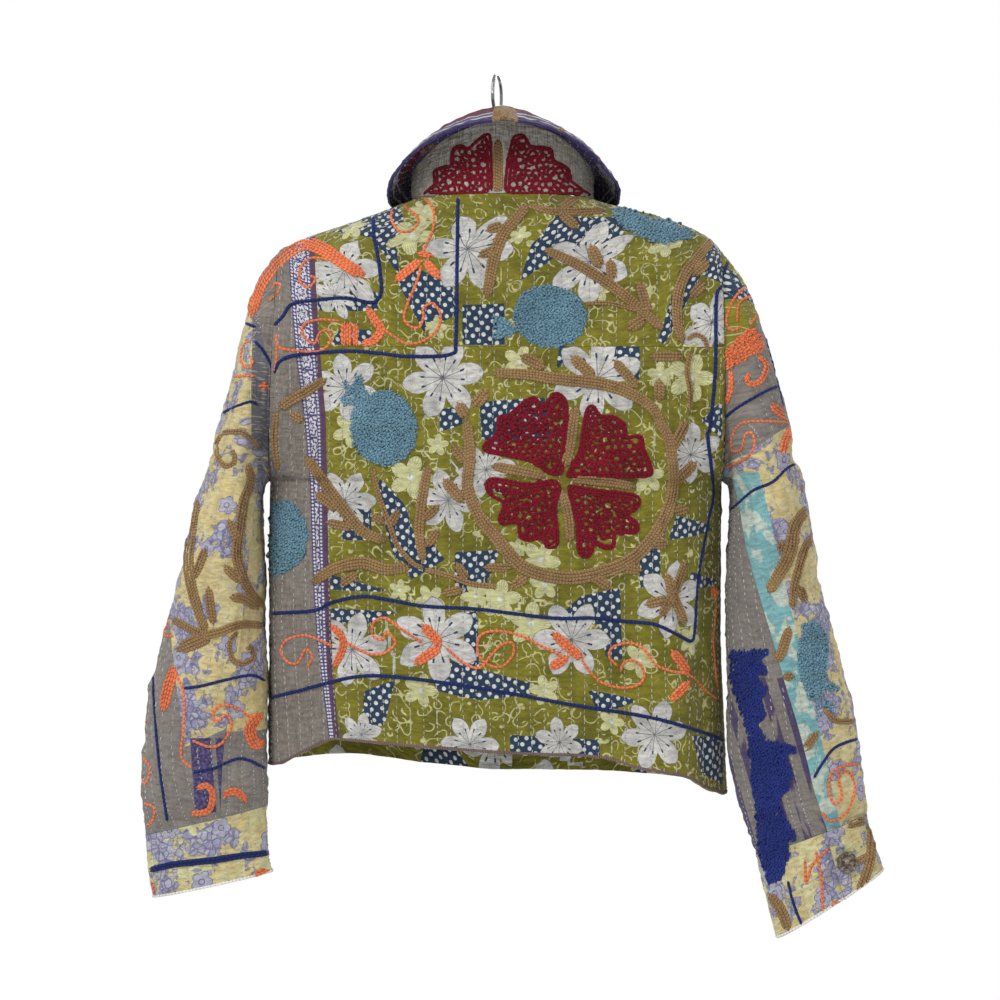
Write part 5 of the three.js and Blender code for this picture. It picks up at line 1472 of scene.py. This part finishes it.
sleeveWork = dict(
    navy=charts(
        "-233,-234 -228,-236 -223,-238; -224,-251 -216,-260 -209,-274 -207,-290; "
        "-257,-319 -243,-312 -228,-307 -221,-310; -290,-572 -274,-570 -250,-564 -227,-560 -214,-565; "
        "-318,-554 -317,-591 -312,-646 -305,-695; -281,-650 -262,-646 -237,-637 -214,-646; "
        "216,-167 211,-185 203,-199; 205,-333 214,-319 228,-309 247,-298 266,-290; "
        "211,-411 224,-400 237,-389 255,-381 269,-368 283,-362; 293,-655 302,-640 314,-626 339,-617; "
        "269,-750 275,-773 286,-801"),
    thickNavy=chart("-324,-741 -299,-735 -262,-731 -237,-727 -208,-724"),
    seamLine=chart("245,-233 251,-257 260,-290 265,-312"),
    boughs=limbs(
        "5 2 -263,-342 -254,-336 -237,-335 -228,-341 -221,-350; "
        "5 2 -254,-337 -259,-345 -258,-358 -252,-366 -244,-364 -243,-356 -246,-352; "
        "10 4 -231,-364 -228,-381 -234,-398 -238,-426 -240,-452 -230,-480 -216,-497; "
        "8 3 -248,-415 -245,-424 -238,-439; 8 3 -253,-458 -245,-466 -235,-475; "
        "9 3 -248,-488 -235,-489 -220,-499; 10 4 -277,-398 -282,-427 -285,-460 -279,-492 -269,-520; "
        "8 3 -269,-441 -274,-455 -281,-472; 8 3 -267,-477 -265,-497 -262,-514; "
        "8 3 -302,-507 -284,-517 -272,-522 -257,-520 -237,-513 -215,-514; "
        "13 4 -262,-522 -279,-529 -297,-537; "
        "4.5 2 -240,-520 -247,-529 -245,-544 -235,-549 -226,-544 -227,-534 -232,-536; "
        "12 4 290,-404 278,-417 274,-428 270,-449 251,-484; "
        "8 3 296,-428 286,-440 281,-455 275,-478 273,-499; 8 3 265,-435 261,-447; 8 3 279,-476 286,-494; "
        "7 3 300,-447 307,-478; 9 3 271,-514 263,-539 257,-547; 8 3 263,-561 276,-561; "
        "8 3 297,-611 287,-626 281,-629; 5 2 302,-590 314,-602 337,-602; 8 3 282,-383 282,-391; "
        "9 3 345,-694 345,-732 328,-778; 7 3 347,-692 333,-696 324,-701; 6 2 326,-737 345,-725; "
        "10 3 251,-761 263,-778 270,-797"),
    fruit=charts(
        "282,-512 292,-507 302,-515 307,-532 306,-549 304,-570 297,-585 287,-580 280,-565 278,-536; "
        "295,-580 299,-580 298,-605 296,-605; 304,-562 319,-570 317,-579 302,-574; "
        "301,-579 309,-583 314,-593 304,-593 299,-585"),
    royal=charts(
        "215,-536 251,-534 253,-541 244,-546 251,-553 251,-563 239,-558 253,-573 246,-580 251,-599 "
        "241,-604 251,-619 234,-624 228,-604 215,-565; "
        "232,-618 251,-619 275,-623 278,-631 268,-635 274,-648 270,-667 261,-674 266,-689 240,-694 "
        "234,-652; "
        "240,-689 266,-686 275,-703 279,-715 268,-713 273,-725 261,-752 251,-754 241,-725 239,-703"),
    coralThick=limbs(
        "10 4 -298,-551 -304,-571 -309,-594; 6 2 -278,-665 -269,-662 -263,-670 -267,-685 -283,-688; "
        "7 3 -253,-675 -250,-669 -240,-668 -231,-678; 11 4 -217,-595 -228,-608 -224,-623 -214,-621; "
        "9 3 -225,-746 -211,-740; 8 3 254,-307 258,-314 273,-324; 8 3 264,-357 267,-343 274,-327; "
        "5 2 241,-264 249,-273 245,-286 236,-291 231,-287 234,-280; "
        "5 2 216,-278 216,-296 211,-308 208,-296; 8 3 -221,-292 -210,-293; 6 2 -321,-751 -317,-766"),
    coralFlame=chart(
        "239,-236 242,-243 249,-249 255,-253 247,-259 236,-265 222,-273 206,-282 203,-265 214,-257 "
        "224,-245 234,-239"),
    coralThin=charts(
        "-228,-251 -233,-253 -237,-265 -235,-273 -229,-275 -226,-270 -228,-265; "
        "-246,-284 -236,-283 -223,-283; -298,-556 -290,-576 -290,-608 -292,-635 -282,-646; "
        "-304,-485 -309,-497 -304,-509 -308,-522 -299,-524; "
        "-237,-592 -252,-587 -262,-593 -260,-603 -250,-596 -246,-608 -255,-623 -267,-626 -282,-620; "
        "-237,-592 -228,-598 -221,-594; -324,-601 -327,-613 -323,-618; "
        "-328,-635 -321,-646 -325,-660 -329,-655; -327,-678 -317,-683 -319,-695 -325,-699; "
        "232,-198 219,-212 212,-232 217,-241 226,-237; "
        "222,-233 224,-216 234,-210 242,-216 240,-226 234,-236; "
        "271,-326 247,-325 226,-327 217,-341 218,-352 226,-351 230,-337 236,-336 238,-347 232,-358 "
        "216,-366 208,-368; "
        "300,-686 309,-695 324,-686 331,-665 326,-650 316,-652 319,-672 312,-679 307,-665 310,-650 "
        "324,-643 339,-642; 285,-730 286,-752 292,-735 307,-720; 295,-722 300,-749 302,-792; "
        "309,-785 310,-773 318,-769"),
)
collarWork = dict(
    petals=charts(
        "-5,-117 -6,-66 -10,-60 -18,-65 -27,-73 -33,-70 -41,-74 -43,-89 -50,-90 -58,-94 -58,-106 "
        "-65,-117; "
        "7,-117 9,-92 14,-66 18,-61 25,-61 30,-70 45,-72 51,-75 52,-83 61,-88 67,-93 67,-101 79,-111 "
        "80,-117"),
    bough=([(1, -64), (1, -117)], 9, 4),
    stars=chart("-68,-75 -61,-70 0,-40 7,-43 94,-81 100,-88 60,-56"),
)

sleeves = arms + cuffs
fronts = ["left_front_cloth", "right_front_cloth"]


def stitchAll(where, body, shift, back):
    # the same work again on the front, where it runs the other way and a little to the left
    place = (lambda path: path) if back else (lambda path: [(shift - x, z) for x, z in path])
    onArm = (lambda path: path) if back else (lambda path: [(-x, z) for x, z in path])
    shoulders = body + sleeves if back else body

    def rowsOf(names, paths, put):
        return [run for path in paths for run in lay(names, curve(put(path), pace(1.8, back)), back)]

    def boughsOf(names, boughs, put):
        return [run for path, wide, rows in boughs for run in bough(names, put(path), wide, rows, back)]

    def fill(names, outlines, put, **more):
        return [run for outline in outlines for run in filled(names, put(outline), back, **more)]

    sew(f"navy_lines_{where}", rowsOf(body, bodyWork["navy"], place), bodyWork["navyWidth"],
        bodyWork["navyRise"], threads["navy"])
    sew(f"navy_lines_sleeves_{where}", rowsOf(sleeves, sleeveWork["navy"], onArm), 3.0, 1.3,
        threads["navy"])
    sew(f"navy_line_cuff_{where}", boughsOf(sleeves, [(sleeveWork["thickNavy"], 6.0, 2)], onArm), 3, 1.8,
        threads["navy"])
    sew(f"red_petals_{where}", [run for outline in bodyWork["petals"]
                                for run in openwork(body, place(outline), back)],
        bodyWork["petalThread"], bodyWork["petalRise"], threads["red"])
    sew(f"tan_boughs_{where}", boughsOf(body, bodyWork["boughs"], place), 3, bodyWork["boughRise"],
        threads["tan"])
    sew(f"tan_boughs_sleeves_{where}", boughsOf(sleeves, sleeveWork["boughs"], onArm), 3, 1.6, threads["tan"])
    sew(f"blue_fruit_{where}", fill(body, bodyWork["fruit"], place), 3.0, bodyWork["fruitRise"],
        threads["blue"])
    sew(f"blue_fruit_sleeve_{where}", fill(sleeves, sleeveWork["fruit"], onArm, turn=1.2), 3.0, 1.5,
        threads["blue"])
    sew(f"royal_leaf_{where}", fill(sleeves, sleeveWork["royal"], onArm, turn=1.1), 3.2, 1.9,
        threads["royal"])
    sew(f"coral_sprays_{where}", boughsOf(shoulders, bodyWork["coralThick"], place)
        + boughsOf(sleeves, sleeveWork["coralThick"], onArm)
        + fill(sleeves, [sleeveWork["coralFlame"]], onArm, turn=0.8), 3, 1.5, threads["coral"])
    sew(f"coral_scrolls_{where}", rowsOf(shoulders, bodyWork["coralThin"], place)
        + rowsOf(sleeves, sleeveWork["coralThin"], onArm),
        bodyWork["coralWidth"], bodyWork["coralRise"], threads["coral"])
    print(where, "embroidered")


stitchAll("back", bodyBack, 0, True)
stitchAll("front", fronts, -45, False)
sew("purple_line_right_sleeve", lay(sleeves, curve(sleeveWork["seamLine"], 1.8)),
    2.2, 0.9, threads["royal"])
sew("red_petals_collar", [run for outline in collarWork["petals"]
                          for run in openwork(["collar_cloth"], outline)],
    3.0, 1.4, threads["red"])
sew("tan_bough_collar", bough(["collar_cloth"], *collarWork["bough"]), 3, 1.4, threads["tan"])
stars = []
for x, z in collarWork["stars"]:
    for turn in np.arange(4) * 0.8:
        armX, armZ = 4 * math.cos(turn), 4 * math.sin(turn)
        stars += lay(["collar_cloth"], curve([(x - armX, z - armZ), (x + armX, z + armZ)], 1.6))
sew("tan_stars_collar", stars, 1.5, 1.0, threads["tan"])

# millimetres, and how many rows of the grid lie between two stitches
runningStitch = dict(length=3.6, width=1.15, rise=0.6, everyRows=2)


def runningStitches(name, clothNames):
    vertices, faces, total = [], [], 0
    for clothName in clothNames:
        cloth = cloths[clothName]
        rows, columns = cloth["u"].shape
        starts, ends = [], []
        number = np.arange(columns)
        for r in range(1, rows - 2, runningStitch["everyRows"]):
            low, high = cloth["row"][r].min(), cloth["row"][r].max()
            lines = np.arange(math.ceil(low - 0.5), math.floor(high - 0.5) + 1) + 0.5
            increasing = cloth["row"][r][-1] > cloth["row"][r][0]
            order = slice(None) if increasing else slice(None, None, -1)
            c = np.interp(lines, cloth["row"][r][order], number[order].astype(float))
            c = c[(c > 0.6) & (c < columns - 1.6)]
            slip = needle.uniform(-0.25, 0.25, len(c))
            starts.append(np.stack([r + slip, c + needle.normal(0, 0.06, len(c))], axis=-1))
            length = runningStitch["length"] / cloth["spaced"] * needle.uniform(0.8, 1.15, len(c))
            ends.append(np.stack([r + slip + length, c + needle.normal(0, 0.06, len(c))], axis=-1))
        a, normal = layOnGrid(clothName, *np.concatenate(starts).T)
        b, _ = layOnGrid(clothName, *np.concatenate(ends).T)
        ahead = unit(b - a)
        beside = np.cross(ahead, normal) * runningStitch["width"] / 2
        up, down = normal * runningStitch["rise"], normal * 0.15
        six = np.stack([a - beside - down, a + beside - down, b - beside - down, b + beside - down,
                        a + ahead * 0.7 + up, b - ahead * 0.7 + up], axis=1)
        first = total + 6 * np.arange(len(six))
        for corners in ((0, 4, 5, 2), (1, 3, 5, 4), (0, 2, 3, 1), (0, 1, 4), (2, 5, 3)):
            faces += np.stack([first + k for k in corners], axis=-1).tolist()
        vertices.append(six.reshape(-1, 3))
        total += 6 * len(six)
    piece = meshPiece(name, np.concatenate(vertices), faces)
    piece.data.materials.append(threads["cream"])
    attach(piece, "root")


runningStitches("running_stitches_body", bodyBack + fronts)
runningStitches("running_stitches_sleeves", arms + cuffs + ["collar_cloth"])
print("running stitches sewn")


def edgeRun(name):
    # along a cloth's last row, half a step in from its end
    rows, columns = cloths[name]["u"].shape
    along = np.arange(0, columns - 1, 0.5)
    return layOnGrid(name, np.full(len(along), rows - 1 - 0.55), along)


# the overlocked edges: cloths, width, thread and slot
edges = dict(
    hem_edging=(["back_panel_cloth", *fronts], 2.8, "edging", "print_navy"),
    cuff_edging=(cuffs, 2.4, "cream", "print_yellow"),
    collar_edging=(["collar_cloth"], 2.6, "royal", "cloth_collar"),
)
for name, (names, width, thread, slotName) in edges.items():
    sew(name, [edgeRun(cloth) for cloth in names], width, 0.7, threads[thread])

# shares of a button's radius: its rim, inner ring, boss and ring of beads
buttonForm = dict(body=0.97, rim=0.90, rimWire=0.085, ring=0.42, ringWire=0.05, boss=0.27, beadRing=0.64,
                  bead=0.075)
beadCount = 18
metal = Weaver("dark aged brass", 0.42, 0.0)
metal.shade("Metallic", 1.0)
spot = metal.take("TexCoord", "Object")
tarnish = metal.noise(spot, 320.0, 4.0)
metal.shade("Base Color", metal.mix(metal.step(tarnish, 0.38, 0.66), (0.10, 0.085, 0.065),
                                    (0.34, 0.29, 0.22)))
metal.shade("Roughness", metal.spread(tarnish, 0.3, 0.7, 0.55, 0.32))
metal.relief(0.4, 0.0003, metal.noise(spot, 1500.0, 2.0))


def makeButton(node, clothNames):
    # a raised rim, a sunk middle with a ring of beads, and a low boss
    corners = np.array([node.matrix_world @ v.co for v in node.data.vertices])
    middle = corners.mean(axis=0)
    _, vectors = np.linalg.eigh(np.cov((corners - middle).T))
    out = vectors[:, 0]
    nearest = min((trees[name].find_nearest(Vector(middle)) for name in clothNames), key=lambda hit: hit[3])
    if out @ (middle - np.array(nearest[0])) < 0:
        out = -out
    heights = (corners - middle) @ out
    radius = np.linalg.norm((corners - middle) - heights[:, None] * out, axis=1).max()
    low, high = heights.min(), heights.max()
    turned = Vector(out).to_track_quat("Z", "Y").to_euler()
    size = {key: radius * share for key, share in buttonForm.items()}
    thick = high - low
    parts = []

    def keep(kind, height, aside=Vector((0, 0, 0)), rotation=turned, **more):
        place = Vector(middle + out * height) + aside
        getattr(bpy.ops.mesh, f"primitive_{kind}_add")(location=place, rotation=rotation, **more)
        parts.append(bpy.context.active_object)

    keep("cylinder", (low + high - thick * 0.35) / 2, vertices=48, radius=size["body"], depth=thick * 0.65)
    for name, height, around in (("rim", high - size["rimWire"], 48), ("ring", high - thick * 0.35, 40)):
        keep("torus", height, major_segments=around, minor_segments=10, major_radius=size[name],
             minor_radius=size[name + "Wire"])
    keep("uv_sphere", high - thick * 0.38, segments=24, ring_count=12, radius=size["boss"])
    parts[-1].scale = (1, 1, 0.45)
    side = Vector(out).orthogonal().normalized()
    over = Vector(out).cross(side)
    for angle in np.linspace(0, 2 * math.pi, beadCount, endpoint=False):
        aside = (side * math.cos(angle) + over * math.sin(angle)) * size["beadRing"]
        keep("ico_sphere", high - thick * 0.36, aside, (0, 0, 0), subdivisions=1, radius=size["bead"])
    pickOnly(*parts)
    bpy.ops.object.join()
    bpy.ops.object.transform_apply(location=True, rotation=True, scale=True)
    button = bpy.context.active_object
    button.name = node.name + "_dressed"
    bpy.ops.object.shade_smooth_by_angle(angle=math.radians(40))
    button.data.materials.clear()
    button.data.materials.append(metal.material)
    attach(button, "root")
    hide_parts(node.name)


for number in range(1, 6):
    makeButton(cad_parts[f"front_button_{number}"], fronts)
for sleeve in ("left", "right"):
    makeButton(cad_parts[f"{sleeve}_cuff_button"], [f"{sleeve}_cuff_cloth"])
print("edges and buttons made")
